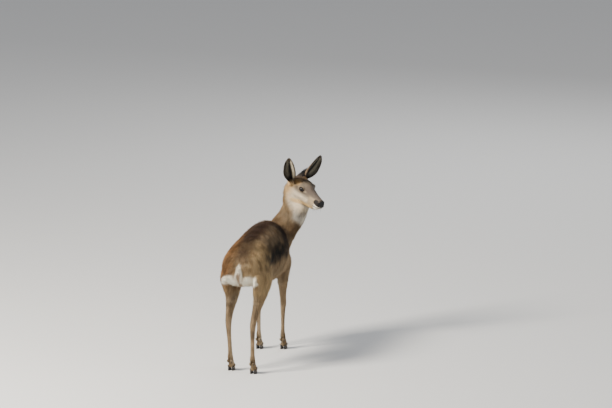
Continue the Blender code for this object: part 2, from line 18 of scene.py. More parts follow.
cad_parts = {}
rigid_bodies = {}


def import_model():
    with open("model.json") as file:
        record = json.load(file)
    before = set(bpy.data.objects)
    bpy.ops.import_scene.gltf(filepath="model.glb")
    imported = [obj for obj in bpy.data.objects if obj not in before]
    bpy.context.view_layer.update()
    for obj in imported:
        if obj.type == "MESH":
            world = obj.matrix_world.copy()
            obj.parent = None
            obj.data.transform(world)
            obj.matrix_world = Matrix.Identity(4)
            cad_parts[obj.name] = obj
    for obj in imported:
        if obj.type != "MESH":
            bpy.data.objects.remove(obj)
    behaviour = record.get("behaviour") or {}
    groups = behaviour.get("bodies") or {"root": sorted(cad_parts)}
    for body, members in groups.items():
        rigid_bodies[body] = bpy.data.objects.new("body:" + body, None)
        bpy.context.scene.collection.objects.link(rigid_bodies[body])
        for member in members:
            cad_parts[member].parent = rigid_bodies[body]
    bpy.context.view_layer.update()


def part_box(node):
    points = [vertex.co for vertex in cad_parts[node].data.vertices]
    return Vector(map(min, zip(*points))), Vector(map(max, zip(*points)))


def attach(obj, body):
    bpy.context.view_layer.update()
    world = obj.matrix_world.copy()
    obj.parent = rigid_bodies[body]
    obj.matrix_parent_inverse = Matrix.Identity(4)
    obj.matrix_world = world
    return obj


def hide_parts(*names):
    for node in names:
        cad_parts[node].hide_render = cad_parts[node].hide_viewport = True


for leftover in list(bpy.data.objects):
    bpy.data.objects.remove(leftover, do_unlink=True)
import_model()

# %% [markdown]
# ## The sizes she is made from
#
# Animals are measured in shares of a few main sizes: the height at the withers, the length of the
# trunk and the length of the head. Each table below is a list of cross sections, and a smooth curve
# through the rows gives every section between them. A table can be checked against a real deer and
# changed row by row, which a sculpted mesh can't. All the sections reach to the tips of the hair.

# %% Main sizes and her stance
WITHERS_HEIGHT = 0.69
TRUNK_LENGTH = 0.695
TRUNK_START = -0.372
HEAD_LENGTH = 0.232
EAR_LENGTH = 0.167
HEAD_TURN = radians(119)
HEAD_TIP = radians(26)
HEAD_ORIGIN = np.array((0.088, 0.348, 0.886))
HIND_STEP = 0.022
FORE_STEP = 0.016

# %% Sections of the trunk, the neck and the head
# Trunk: along; back, belly and half width, in shares of the withers' height; narrowing upwards.
TRUNK_STATIONS = (
    (0, 0.846, 0.725, 0.092, 0.02),
    (0.037, 0.894, 0.688, 0.136, 0.03),
    (0.115, 0.944, 0.659, 0.168, 0.05),
    (0.24, 0.99, 0.645, 0.17, 0.06),
    (0.38, 1.014, 0.626, 0.16, 0.04),
    (0.52, 1.027, 0.594, 0.165, 0.03),
    (0.632, 1.032, 0.575, 0.17, 0.03),
    (0.73, 1.03, 0.57, 0.169, 0.05),
    (0.814, 1.018, 0.577, 0.158, 0.07),
    (0.895, 0.965, 0.601, 0.133, 0.08),
    (0.957, 0.86, 0.645, 0.101, 0.06),
    (1, 0.77, 0.69, 0.062, 0.04),
)
# Neck: x, y, z of its middle; share of the head's turn; radii to the throat, the nape and the side.
NECK_STATIONS = (
    (0, 0.18, 0.435, 0, 0.085, 0.07, 0.07),
    (0, 0.204, 0.505, 0, 0.118, 0.082, 0.086),
    (0.004, 0.222, 0.55, 0.02, 0.118, 0.084, 0.088),
    (0.02, 0.25, 0.592, 0.12, 0.102, 0.082, 0.083),
    (0.054, 0.29, 0.655, 0.32, 0.08, 0.073, 0.073),
    (0.082, 0.318, 0.71, 0.52, 0.078, 0.067, 0.069),
    (0.096, 0.334, 0.765, 0.75, 0.082, 0.064, 0.067),
    (0.098, 0.344, 0.815, 0.92, 0.08, 0.065, 0.065),
    (0.098, 0.351, 0.858, 1, 0.06, 0.056, 0.057),
    (0.106, 0.348, 0.888, 1, 0.036, 0.032, 0.036),
)
# Head: along, height of the crown, depth of the jaw and half width, in shares of its length.
HEAD_STATIONS = (
    (0, 0.14, 0.13, 0.145),
    (0.07, 0.205, 0.225, 0.195),
    (0.16, 0.246, 0.285, 0.215),
    (0.27, 0.26, 0.306, 0.222),
    (0.39, 0.25, 0.298, 0.222),
    (0.5, 0.212, 0.29, 0.19),
    (0.62, 0.174, 0.274, 0.156),
    (0.74, 0.145, 0.246, 0.13),
    (0.875, 0.122, 0.2, 0.114),
    (0.965, 0.102, 0.146, 0.1),
    (1.003, 0.072, 0.096, 0.074),
)
# Legs: height of the slice, x of its middle, y of its front and rear edge, half its thickness.
FORELEG_SLICES = (
    (0.575, 0.06, 0.245, 0.158, 0.024),
    (0.525, 0.066, 0.276, 0.134, 0.034),
    (0.47, 0.07, 0.296, 0.132, 0.036),
    (0.41, 0.069, 0.264, 0.146, 0.031),
    (0.35, 0.067, 0.244, 0.17, 0.0235),
    (0.29, 0.065, 0.236, 0.19, 0.0185),
    (0.248, 0.065, 0.238, 0.198, 0.0175),
    (0.215, 0.064, 0.232, 0.197, 0.0145),
    (0.15, 0.063, 0.228, 0.2, 0.012),
    (0.1, 0.062, 0.229, 0.199, 0.013),
    (0.076, 0.062, 0.232, 0.197, 0.016),
    (0.056, 0.062, 0.24, 0.206, 0.015),
    (0.038, 0.062, 0.25, 0.213, 0.0165),
    (0.016, 0.062, 0.25, 0.213, 0.016),
)
HINDLEG_SLICES = (
    (0.6, 0.06, -0.18, -0.28, 0.026),
    (0.56, 0.075, -0.135, -0.335, 0.04),
    (0.505, 0.083, -0.108, -0.366, 0.044),
    (0.45, 0.083, -0.104, -0.342, 0.041),
    (0.395, 0.078, -0.142, -0.322, 0.031),
    (0.345, 0.075, -0.21, -0.336, 0.0225),
    (0.3, 0.072, -0.276, -0.36, 0.018),
    (0.268, 0.07, -0.312, -0.366, 0.0175),
    (0.23, 0.069, -0.324, -0.362, 0.015),
    (0.16, 0.067, -0.322, -0.352, 0.013),
    (0.104, 0.066, -0.316, -0.347, 0.0138),
    (0.078, 0.066, -0.312, -0.349, 0.0165),
    (0.056, 0.066, -0.301, -0.338, 0.0155),
    (0.038, 0.066, -0.29, -0.329, 0.017),
    (0.016, 0.066, -0.29, -0.329, 0.0165),
)
# The side is +1 on her right, which is +X, and the step is how far the hoof is set forward.
LEGS = {
    "foreleg_left": (FORELEG_SLICES, -1, -FORE_STEP),
    "foreleg_right": (FORELEG_SLICES, 1, FORE_STEP),
    "hindleg_left": (HINDLEG_SLICES, -1, HIND_STEP),
    "hindleg_right": (HINDLEG_SLICES, 1, -HIND_STEP),
}

# %% [markdown]
# ## Frames of reference
#
# The head is turned and tipped, so its details are far easier to place in a frame of its own: X runs
# to the nose, Y to her left and Z to the crown. Two small functions carry points to it and back. The
# solid model has its origin under the middle of its box, and the place of one eyeball tells us how far
# that is from ours.

# %% The head's frame, and the move to the solid model's origin
AHEAD = np.array((sin(HEAD_TURN) * cos(HEAD_TIP), cos(HEAD_TURN) * cos(HEAD_TIP), -sin(HEAD_TIP)))
LEFTWARD = np.array((-cos(HEAD_TURN), sin(HEAD_TURN), 0.0))
HEAD_AXES = np.array((AHEAD, LEFTWARD, np.cross(AHEAD, LEFTWARD)))
EYE_PLACE = np.array((0.43, 0.168, 0.112)) * HEAD_LENGTH
EYE_RADIUS = 0.0132


def from_head(points):
    """Points in the head's frame, in metres, carried to the animal's frame: origin + q · axes."""
    return HEAD_ORIGIN + points @ HEAD_AXES


def to_head(points):
    """Points in the animal's frame carried to the head's: (p - origin) · axes transposed."""
    return (points - HEAD_ORIGIN) @ HEAD_AXES.T


eye_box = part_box("eye_left")
SHIFT = np.array((eye_box[0] + eye_box[1]) / 2) - from_head(EYE_PLACE)
print("moved by", SHIFT.round(4))

# %% [markdown]
# ## Helpers for curves, sections and meshes
#
# A loft is a stack of rings, joined by quads and closed by a pole at each end. Blender's own operators
# could build it ring by ring, but these helpers work on whole arrays, so a body is made in one step
# and comes out the same on every run.

# %% Smooth rows, soft steps and noise


def smooth_rows(rows, shares, places=1):
    """Rows at shares of the way, measured in the first `places` columns, along a cubic Hermite curve."""
    rows = np.array(rows, float)
    step = norm(np.diff(rows[:, :places], axis=0), axis=1)
    knot = np.concatenate([[0.0], np.cumsum(step)])
    slope = np.gradient(rows, knot, axis=0)
    at = np.asarray(shares) * knot[-1]
    low = np.clip(np.searchsorted(knot, at, side="right") - 1, 0, len(rows) - 2)
    width = (knot[low + 1] - knot[low])[:, None]
    t = (at - knot[low])[:, None] / width
    start = rows[low] * (2 * t**3 - 3 * t**2 + 1) + slope[low] * width * (t**3 - 2 * t**2 + t)
    return start + rows[low + 1] * (3 * t**2 - 2 * t**3) + slope[low + 1] * width * (t**3 - t**2)


def section(angles, power=2.2):
    """A superellipse of radius 1: x = sign(cos) |cos|^(2/power), and z likewise with sin."""
    c, s = np.cos(angles), np.sin(angles)
    return np.sign(c) * np.abs(c) ** (2 / power), np.sign(s) * np.abs(s) ** (2 / power)


def columns(*values):
    """Values side by side in the last axis, each stretched to the shape of all."""
    return np.stack(np.broadcast_arrays(*values), -1)


def bell(distance, reach):
    """A soft hump, 1 in the middle and fading over the reach: exp(-(distance / reach)²)."""
    return np.exp(-((distance / reach) ** 2))


def around(count):
    """`count` equal angles round a full turn."""
    return np.arange(count) * 2 * pi / count


def unit(vectors):
    """Vectors of length 1 in the same directions."""
    return vectors / np.maximum(norm(vectors, axis=-1, keepdims=True), 1e-12)


def flat_on(directions, normals):
    """Directions laid flat on the surfaces with those normals."""
    return unit(directions - normals * (directions * normals).sum(-1, keepdims=True))


def ramp(value, low, high):
    """A soft step from 0 at low to 1 at high: t²(3 - 2t)."""
    t = np.clip((value - low) / (high - low), 0, 1)
    return t * t * (3 - 2 * t)


def mix(one, other, share):
    """One colour or direction turned into another by a share at each place: a + (b - a) · share."""
    return one + (other - one) * share[:, None]


def lumps(points, size, seed):
    """Soft noise from -1 to 1: random values on a lattice of that size, blended by 3t² - 2t³."""
    lattice = np.random.default_rng(seed).uniform(-1, 1, (24, 24, 24))
    place = points / size + 1000
    low = np.floor(place).astype(int)
    t = ramp(place - low, 0, 1)
    total = 0.0
    for corner in np.ndindex(2, 2, 2):
        near = np.abs(1 - t - corner).prod(1)
        total = total + lattice[tuple(((low + corner) % 24).T)] * near
    return total


# %% Tubes and meshes


def domed(rings, depths, steps=7):
    """Rings that round off both ends: middle + (edge - middle) cos a + outward depth sin a."""
    angles = np.radians(np.linspace(12, 84, steps))[:, None, None]
    ends = []
    for end, inner, depth in ((rings[0], rings[1], depths[0]), (rings[-1], rings[-2], depths[1])):
        middle = end.mean(0)
        out = unit(middle - inner.mean(0))
        ends.append(middle + (end - middle) * np.cos(angles) + out * depth * np.sin(angles))
    return np.concatenate([ends[0][::-1], rings, ends[1]])


def closed_loft(rings):
    """Points, quads and triangles of a tube through the rings, with a pole at each end."""
    rows, sides = rings.shape[:2]
    points = np.concatenate([rings.reshape(-1, 3), rings[0].mean(0)[None], rings[-1].mean(0)[None]])
    j = np.arange(sides)
    k = (j + 1) % sides
    row = np.arange(rows - 1)[:, None] * sides
    quads = columns(row + j, row + k, row + sides + k, row + sides + j)
    end = (rows - 1) * sides
    caps = [columns(rows * sides, k, j), columns(rows * sides + 1, end + j, end + k)]
    return points, quads.reshape(-1, 4), np.concatenate(caps)


def mesh_piece(name, shape):
    """A mesh object from points, quads and triangles, turned so that the sum of a · (b × c) is positive."""
    points, quads, triangles = shape
    corners = np.concatenate([triangles, quads[:, [0, 1, 2]], quads[:, [0, 2, 3]]])
    a, b, c = (points[corners[:, n]] for n in range(3))
    if (a * np.cross(b, c)).sum() < 0:
        quads, triangles = quads[:, ::-1], triangles[:, ::-1]
    corners = np.concatenate([quads.ravel(), triangles.ravel()]).astype(np.int32)
    starts = np.concatenate([np.arange(len(quads)) * 4, len(quads) * 4 + np.arange(len(triangles)) * 3])
    mesh = bpy.data.meshes.new(name)
    mesh.vertices.add(len(points))
    mesh.vertices.foreach_set("co", points.astype(np.float32).ravel())
    mesh.loops.add(len(corners))
    mesh.loops.foreach_set("vertex_index", corners)
    mesh.polygons.add(len(starts))
    mesh.polygons.foreach_set("loop_start", starts.astype(np.int32))
    mesh.update(calc_edges=True)
    mesh.shade_smooth()
    return in_scene(name, mesh)


def in_scene(name, data):
    """A new object in the scene, of that mesh, lamp or camera."""
    made = bpy.data.objects.new(name, data)
    bpy.context.scene.collection.objects.link(made)
    return made


def read(rows, field, width=3, whole=False):
    """A field of all of a mesh's vertices, edges or faces, as an array with `width` columns."""
    flat = np.empty(len(rows) * width, np.int32 if whole else np.float32)
    rows.foreach_get(field, flat)
    return flat.reshape(-1, width).astype(int if whole else float)


def places_of(obj):
    """The places of the mesh's vertices."""
    return read(obj.data.vertices, "co")


def normals_of(obj):
    """The normals of the mesh's vertices."""
    return read(obj.data.vertex_normals, "vector")


def move_to(obj, points):
    """Give the mesh new vertex places."""
    obj.data.vertices.foreach_set("co", points.astype(np.float32).ravel())
    obj.data.update()


def applied(obj):
    """Make the object's modifiers real."""
    graph = bpy.context.evaluated_depsgraph_get()
    mesh = bpy.data.meshes.new_from_object(obj.evaluated_get(graph))
    obj.modifiers.clear()
    obj.data = mesh


def relaxed(obj, weight, rounds):
    """Each point moved by weight/2 towards the mean of its neighbours, `rounds` times."""
    points = places_of(obj)
    count = len(points)
    a, b = read(obj.data.edges, "vertices", 2, True).T
    near = (weight[a] > 0.01) | (weight[b] > 0.01)
    a, b = a[near], b[near]
    links = np.bincount(a, minlength=count) + np.bincount(b, minlength=count)
    for _ in range(rounds):
        sums = [np.bincount(a, points[b, n], count) + np.bincount(b, points[a, n], count) for n in range(3)]
        mean = np.stack(sums, -1) / np.maximum(links, 1)[:, None]
        points += (mean - points) * (0.5 * weight * (links > 0))[:, None]
    return points


# %% [markdown]
# ## The body under the coat
#
# The trunk, neck, tail and legs are separate lofts that run into each other. A voxel remesh grows them
# into one closed surface, and a few rounds of smoothing soften the joins, as muscle and fat do under
# real skin. Metaballs would melt into each other too, but they can't follow a table of sections. The
# head isn't remeshed: it keeps its own fine grid, because lids, nostrils and lips need points of their
# own.

# %% Lofts of the body


def trunk_rings():
    """Upright sections: x = half width · X · (1 - narrow · Z), z = middle + half height · Z."""
    x, z = section(around(48))
    rows = smooth_rows(TRUNK_STATIONS, np.linspace(0, 1, 70))
    along, back, belly, half_width, narrow = rows.T[:, :, None]
    top, bottom = back * WITHERS_HEIGHT, belly * WITHERS_HEIGHT
    across = half_width * WITHERS_HEIGHT * x * (1 - narrow * z)
    y = TRUNK_START + TRUNK_LENGTH * along
    return columns(across, y, (top + bottom) / 2 + (top - bottom) / 2 * z)


NECK_ROWS = smooth_rows(NECK_STATIONS, np.linspace(0, 1, 60), places=3)
NECK_AXIS = unit(np.gradient(NECK_ROWS[:, :3], axis=0))


def neck_rings():
    """Sections square to the neck's own line: middle + deep · front + side · left."""
    x, z = section(around(44), 2)
    twist, throat, nape, side = NECK_ROWS[:, 3:].T[:, :, None]
    turn = twist[:, 0] * HEAD_TURN
    front = flat_on(columns(np.sin(turn), np.cos(turn), 0), NECK_AXIS)
    left = np.cross(NECK_AXIS, front)
    deep = np.where(z > 0, throat, nape) * z
    middle = NECK_ROWS[:, None, :3]
    return middle + deep[..., None] * front[:, None] + (side * x)[..., None] * left[:, None]


def lead(slices, step, height):
    """How far a leg is moved forward at a height: step · (1 - height / top)."""
    return step * (1 - height / slices[0][0])


def leg_rings(slices, side, step):
    """Level sections between a leg's front and rear edge, moved forward by its lead."""
    x, y = section(around(36), 2.1)
    height, middle, front, rear, half = smooth_rows(slices, np.linspace(0, 1, 110)).T[:, :, None]
    along = (front + rear) / 2 + (front - rear) / 2 * y + lead(slices, step, height)
    return columns(side * (middle + half * x), along, height)


def ball_rings(middle, radii, turn, point=0.0):
    """An ellipsoid, turned; point draws its lower end in: round = cos · (1 - point · depth)."""
    up = np.linspace(-0.96, 0.96, 20)[:, None] * pi / 2
    angle = around(28)
    round_ = np.cos(up) * (1 - point * np.clip(-np.sin(up), 0, 1))
    shape = columns(round_ * np.cos(angle), round_ * np.sin(angle), np.sin(up))
    return middle + (shape * radii) @ turn.T


def tilted(lean):
    """A turn about the X axis."""
    return np.array(Matrix.Rotation(lean, 3, "X"))


# %% Grow them into one body
BODY_CELL = 0.0058
TAIL_PLACE = np.array((0.0, TRUNK_START - 0.002, 0.548))
TAIL_RADII = np.array((0.017, 0.014, 0.034))
TAIL_LEAN = radians(-24)
BREAST = np.array((0.0, TRUNK_START + TRUNK_LENGTH + 0.012, 0.503))
BREAST_REACH = 0.055

lofts = [domed(trunk_rings(), (0.012, 0.012)), domed(neck_rings(), (0.01, 0.012))]
lofts.append(ball_rings(TAIL_PLACE, TAIL_RADII, tilted(TAIL_LEAN)))
lofts += [domed(leg_rings(*shape), (0.02, 0.003)) for shape in LEGS.values()]
shapes = [closed_loft(rings) for rings in lofts]
offsets = np.cumsum([0] + [len(points) for points, _, _ in shapes])
faces = [[shape[n] + offset for shape, offset in zip(shapes, offsets)] for n in (1, 2)]
points = np.concatenate([points for points, _, _ in shapes])
body = mesh_piece("hide", (points, *(np.concatenate(rows) for rows in faces)))
grow = body.modifiers.new("Grow together", "REMESH")
grow.mode = "VOXEL"
grow.voxel_size = BODY_CELL
soft = body.modifiers.new("Soften the joins", "SMOOTH")
soft.factor = 0.5
soft.iterations = 6
applied(body)
breast = norm(places_of(body) - BREAST, axis=1)
move_to(body, relaxed(body, bell(breast, BREAST_REACH), 60))
print("body:", len(body.data.polygons), "faces")

# %% [markdown]
# ## How long the hair is, and how deep the skin lies
#
# The solid model ends at the tips of the hair. The skin lies deeper, by a share of the hair's length:
# winter hair is about 27 mm long on the trunk and lies back at a slant, and on the face it is only a
# few millimetres. One depth for all would bury the thin legs or leave the trunk bald, so one function
# gives the length anywhere on her, and the skin's depth follows it.

# %% Where she is head, neck, leg or trunk
HEAD_CUT = from_head(np.array((0.254, 0.0, -0.328)) * HEAD_LENGTH)
HEAD_CUT_FACING = unit(np.array((0.4, 0.0, 0.92)) @ HEAD_AXES)
NECK_CUT = np.array((0.0, 0.3, 0.64))
NECK_CUT_FACING = unit(np.array((0.1, 0.62, 0.78)))
HAUNCH = ((0.112, -0.232, 0.452), (0.104, 0.172, 0.165))
SHOULDER = ((0.112, 0.212, 0.44), (0.086, 0.112, 0.16))


def egg(points, middle, radii):
    """Distance from an egg's middle in its own radii, in either half of the body."""
    place = (columns(np.abs(points[:, 0]), points[:, 1], points[:, 2]) - middle) / radii
    place[:, 2] *= np.where(place[:, 2] < 0, 0.25, 1)
    return norm(place, axis=1)


def regions(points):
    """Soft shares of head, neck, leg and limb root at each point of the animal's frame."""
    above = (points - HEAD_CUT) @ HEAD_CUT_FACING
    head = ramp(above, -0.012, 0.022) * ramp(points[:, 1], 0.12, 0.18) * ramp(points[:, 2], 0.62, 0.7)
    neck = ramp((points - NECK_CUT) @ NECK_CUT_FACING, -0.05, 0.03) * (1 - head)
    body = (1 - head) * (1 - neck)
    leg = ramp(points[:, 2], 0.415, 0.345) * body
    root = np.minimum(egg(points, *HAUNCH), egg(points, *SHOULDER))
    return {"head": head, "neck": neck, "leg": leg, "limb": ramp(root, 1.1, 0.75) * body * (1 - leg)}


def rump_share(points):
    """Share of the pale rump patch: two lobes below the tail, and a narrow arch above it."""
    x, y, z = points.T
    lobes = np.hypot((np.abs(x) - 0.046) / 0.036, (z - 0.506) / 0.031)
    arch = np.hypot(x / 0.016, (z - 0.532) / 0.052)
    near = np.minimum(lobes, arch) + 0.16 * lumps(points, 0.01, 17)
    return ramp(near, 1.28, 0.84) * ramp(y, -0.262, -0.318)


# Hair's length in metres: at shares of the head's length, and at heights on the legs.
HEAD_HAIR = np.array(((0, 0.02), (0.2, 0.015), (0.38, 0.009), (0.55, 0.007), (0.75, 0.005), (1, 0.0025)))
LEG_HAIR = np.array(((0, 0.007), (0.055, 0.011), (0.085, 0.011), (0.12, 0.007), (0.25, 0.007),
                     (0.33, 0.01), (0.42, 0.018)))
TRUNK_HAIR = 0.027
NECK_HAIR = 0.026
SKIN_DEPTH = 0.32  # of the hair's length


def hair_length(points):
    """Length of the hair in metres, blended from region to region."""
    share = regions(points)
    along, _, up = to_head(points).T / HEAD_LENGTH
    on_head = np.interp(along, *HEAD_HAIR.T)
    on_head += 0.006 * ramp(up, -0.02, -0.22) * ramp(along, 0.62, 0.35)
    on_leg = np.interp(points[:, 2], *LEG_HAIR.T)
    length = TRUNK_HAIR + 0.003 * rump_share(points) - 0.005 * share["limb"]
    length += (NECK_HAIR - length) * share["neck"]
    length += (on_leg - length) * share["leg"]
    return length + (on_head - length) * share["head"]


places = places_of(body)
depth = SKIN_DEPTH * hair_length(places)
move_to(body, places - normals_of(body) * depth[:, None])
print("body: skin's depth", (depth.min() * 1000).round(1), "to", (depth.max() * 1000).round(1), "mm")

# %% [markdown]
# ## The head
#
# A deer's head is a long wedge with the eyes at its sides. It is one loft along its axis, with a grid
# that is finest round the eyes and the nose, because an even grid fine enough for a lid would be
# several times as heavy. We first shape the outline, then draw it in by the depth of the hair, and
# then press the features into it: chin, lips, nostrils, the hollow before the eye, the lids.

# %% A grid that is finest where the features are
HEAD_ROWS = 210
HEAD_SIDES = 240
# place in shares of the head's length, size and rise in metres
SWELLS = (
    ((0.4, 0.2, 0.16), 0.02, 0.0045),  # brow
    ((0.25, 0.205, -0.11), 0.034, 0.004),  # cheek
    ((0.115, 0.135, 0.21), 0.022, 0.01),  # muscle of the ear
)


def crowded(low, high, count, humps, closed=False):
    """Places from low to high, closer together at each hump of (middle, reach, how much denser)."""
    fine = np.linspace(low, high, 4001)
    density = np.ones_like(fine)
    for middle, reach, denser in humps:
        density += denser * bell(fine - middle, reach)
    total = np.concatenate([[0.0], np.cumsum((density[1:] + density[:-1]) / 2)])
    return np.interp(np.linspace(0, total[-1], count + closed)[:count], total, fine)


def head_rings():
    """Sections of the head in its own frame, each swell moved out by rise · exp(-(distance / size)²)."""
    humps = ((0.5, 0.3, 2.6), (pi - 0.5, 0.3, 2.6), (-0.5, 0.3, 0.7), (-pi + 0.5, 0.3, 0.7))
    y, z = section(crowded(-pi, pi, HEAD_SIDES, humps, closed=True))
    along = crowded(0, 1, HEAD_ROWS, ((0.43, 0.062, 3), (0.97, 0.09, 1.4)))
    share, crown, jaw, half_width = smooth_rows(HEAD_STATIONS, along).T[:, :, None]
    high = np.where(z > 0, crown, jaw) * z
    wide = half_width * y * (1 - 0.12 * np.abs(z) * (z < 0))
    rings = columns(share, wide, high) * HEAD_LENGTH
    axis = rings * (1, 0, 0)
    for side in (1, -1):
        for place, size, rise in SWELLS:
            away = norm(rings - np.array(place) * HEAD_LENGTH * (1, side, 1), axis=-1, keepdims=True)
            rings = rings + unit(rings - axis) * rise * bell(away, size)
    return rings


head = mesh_piece("head_form", closed_loft(domed(head_rings(), (0.012, 0.006))))
outline = places_of(head)
depth = SKIN_DEPTH * hair_length(from_head(outline))
under_coat = outline - normals_of(head) * depth[:, None]
print("head:", len(outline), "points; skin's depth", (depth.min() * 1000).round(1), "to",
      (depth.max() * 1000).round(1), "mm")

# %% [markdown]
# ### Lids
#
# An eyelid is a sheet of skin drawn over the ball. Seen from the middle of the ball, every point of
# the face lies in some direction. Outside the almond-shaped opening the skin is pushed out to lie just
# above the ball, and inside the opening it drops behind it. A raised band along the edge makes the
# rim, and two shallow grooves make the folds. A hole cut into the mesh would leave a ragged edge, and
# this way the lid keeps an even thickness all round.

# %% The eye's own directions and its opening
EYE_OUT = unit(np.array((0.3, 0.93, 0.2)))
EYE_FORWARD = np.array((0.94, -0.3, -0.16))
EYE_FORWARD = unit(EYE_FORWARD - EYE_OUT * (EYE_FORWARD @ EYE_OUT))
EYE_UP = np.cross(EYE_FORWARD, EYE_OUT)
OPENING_HALF_WIDTH = radians(64)
OPENING_UP = radians(35)
OPENING_DOWN = radians(29)
LID_THICKNESS = 0.0012
LID_RIM = 0.0007
LID_BLEND = 0.0017


def eye_view(points, side):
    """Distance and direction from the eyeball's middle, height over its axis, and the opening there.

    opening = 1 - |across / half width|^1.9 - |height / half height|: 0 on the edge of the lids.
    """
    away = points * (1, side, 1) - EYE_PLACE
    distance = norm(away, axis=1)
    direction = away / np.maximum(distance, 1e-9)[:, None]
    across = np.arctan2(direction @ EYE_FORWARD, direction @ EYE_OUT)
    height = np.arcsin(np.clip(direction @ EYE_UP, -1, 1))
    reach = np.where(height > 0, OPENING_UP, OPENING_DOWN)
    opening = 1 - np.abs(across / OPENING_HALF_WIDTH) ** 1.9 - np.abs(height / reach)
    near = (direction @ EYE_OUT > 0.05) & (distance < 2.5 * EYE_RADIUS)
    return distance, direction, height, np.where(near, opening, -3)


def eye_opening(points):
    """How far inside either eye's opening points of the head's frame lie."""
    return np.maximum(eye_view(points, 1)[3], eye_view(points, -1)[3])


def with_lids(points, side):
    """Skin laid over the eyeball: distance = smooth maximum of its own and the lid's, open inside."""
    distance, direction, height, opening = eye_view(points, side)
    rim = LID_RIM * bell(opening + 0.1, 0.12)
    fold = np.where(height > 0, 0.001, 0.0007) * bell(opening + 0.62, 0.11)
    pad = 0.0008 * bell(opening + 0.38, 0.18)
    lid = EYE_RADIUS + LID_THICKNESS + rim + pad - fold
    laid = (distance + lid) / 2 + np.sqrt(((distance - lid) / 2) ** 2 + LID_BLEND**2)
    laid = np.where(distance < 3 * EYE_RADIUS, laid - fold * (distance > lid), distance)
    away = laid + (EYE_RADIUS - 0.003 - laid) * ramp(opening, 0, 0.1)
    return (EYE_PLACE + direction * away[:, None]) * (1, side, 1)


# %% [markdown]
# ### Nose, lips and cheeks
#
# The rest of the face is pressed into the loft with soft dents and swells, each a hump of its own
# place, radii and rise on both sides, as a thumb models clay. The mouth is a groove along a line that
# falls a little from the nose to its corner, and the chin is drawn back under the upper lip.

# %% Dents, swells and the line of the mouth
MOUTH_FRONT = 1.025
MOUTH_CORNER = 0.8
FACE_FORMS = (
    # place in shares of the head's length, radii in metres, rise in metres
    ((0.982, 0.058, 0.018), (0.0058, 0.0064, 0.0038), -0.0062),  # nostril
    ((0.945, 0.086, 0.034), (0.0065, 0.005, 0.0026), -0.0032),  # slit behind the nostril
    ((0.958, 0.078, 0.062), (0.01, 0.007, 0.005), 0.0022),  # wing of the nostril
    ((1.003, 0, 0.006), (0.008, 0.0016, 0.016), -0.002),  # groove of the nose leather
    ((0.92, 0, 0.11), (0.016, 0.007, 0.01), -0.001),  # flat of the nose
    ((0.56, 0.15, 0.06), (0.013, 0.009, 0.006), -0.0032),  # hollow before the eye
    ((0.64, 0.13, 0.02), (0.026, 0.012, 0.01), -0.0022),  # side of the nose
    ((0.42, 0.19, -0.06), (0.03, 0.012, 0.0065), 0.0022),  # cheekbone
    ((0.25, 0.19, 0.09), (0.022, 0.014, 0.014), -0.004),  # temple
    ((0.5, 0.15, -0.19), (0.03, 0.014, 0.015), -0.0028),  # between cheek and jaw
    ((0.3, 0.17, -0.24), (0.024, 0.014, 0.016), 0.002),  # angle of the jaw
    ((0.4, 0, 0.26), (0.02, 0.011, 0.012), -0.0012),  # dip of the forehead
)


def mouth_height(along):
    """Height of the mouth's line at a share of the head's length."""
    back = np.clip((MOUTH_FRONT - along) / (MOUTH_FRONT - MOUTH_CORNER), 0, 1)
    return -0.05 - 0.052 * back + 0.014 * back**4


def with_face(points, out):
    """Chin drawn back, lips, and each form: moved along out by rise · exp(-|offset / radii|²)."""
    share = points / HEAD_LENGTH
    height = share[:, 2] - mouth_height(share[:, 0])
    jaw = (ramp(height, -0.004, -0.03) * ramp(share[:, 0], 0.72, 0.92))[:, None]
    points = (points - np.array((0.0055, 0, 0)) * jaw) * (1 - np.array((0, 0.06, 0)) * jaw)
    shut = ramp(share[:, 0], MOUTH_CORNER - 0.012, MOUTH_CORNER + 0.02)
    lips = 0.001 * bell(height - 0.02, 0.014) * shut + 0.0008 * bell(height + 0.022, 0.014) * shut
    points = points + out * (lips - 0.003 * bell(height, 0.0085) * shut)[:, None]
    for place, radii, rise in FACE_FORMS:
        moved = points.copy()
        for side in (1, -1):
            offset = (points * (1, side, 1) - np.array(place) * HEAD_LENGTH) / np.array(radii)
            bump = rise * (0.5 if place[1] == 0 else 1) * np.exp(-(offset**2).sum(1))
            moved += out * bump[:, None]
        points = moved
    return points


features = with_face(under_coat, normals_of(head))
for side in (1, -1):
    features = with_lids(features, side)
move_to(head, from_head(features))
print("face:", len(FACE_FORMS), "forms on each side")

# %% [markdown]
# ## One skin
#
# The head is united with the body, because two shells that only overlap would show a hard edge at the
# throat. They still meet in a crease, so the points round it are drawn towards the middle of their
# neighbours, again and again, with a weight that fades out.

# %% Unite head and body, and soften the crease between them
SEAM_SEARCH = 0.16


def grown_on(obj, other, reach, rounds):
    """Obj united with another form, and the points within reach of the new seam relaxed."""
    before = {tuple(p) for p in np.concatenate([places_of(obj), places_of(other)]).round(5).tolist()}
    union = obj.modifiers.new("Union", "BOOLEAN")
    union.object = other
    union.operation = "UNION"
    union.solver = "MANIFOLD"
    applied(obj)
    bpy.data.objects.remove(other, do_unlink=True)
    points = places_of(obj)
    fresh = np.array([tuple(place) not in before for place in points.round(5).tolist()])
    seam = points[fresh & (to_head(points)[:, 0] < 0.3 * HEAD_LENGTH)]
    away = np.full(len(points), 1.0)
    close = norm(points - seam.mean(0), axis=1) < SEAM_SEARCH
    gap = points[close][:, None, :] - seam[None, ::3, :]
    away[close] = np.sqrt((gap**2).sum(-1)).min(1)
    move_to(obj, relaxed(obj, ramp(away, reach, 0.2 * reach), rounds))
    print("skin:", len(obj.data.polygons), "faces; seam points", len(seam))


skin = body
skin.name = "skin"
grown_on(skin, head, 0.03, 90)

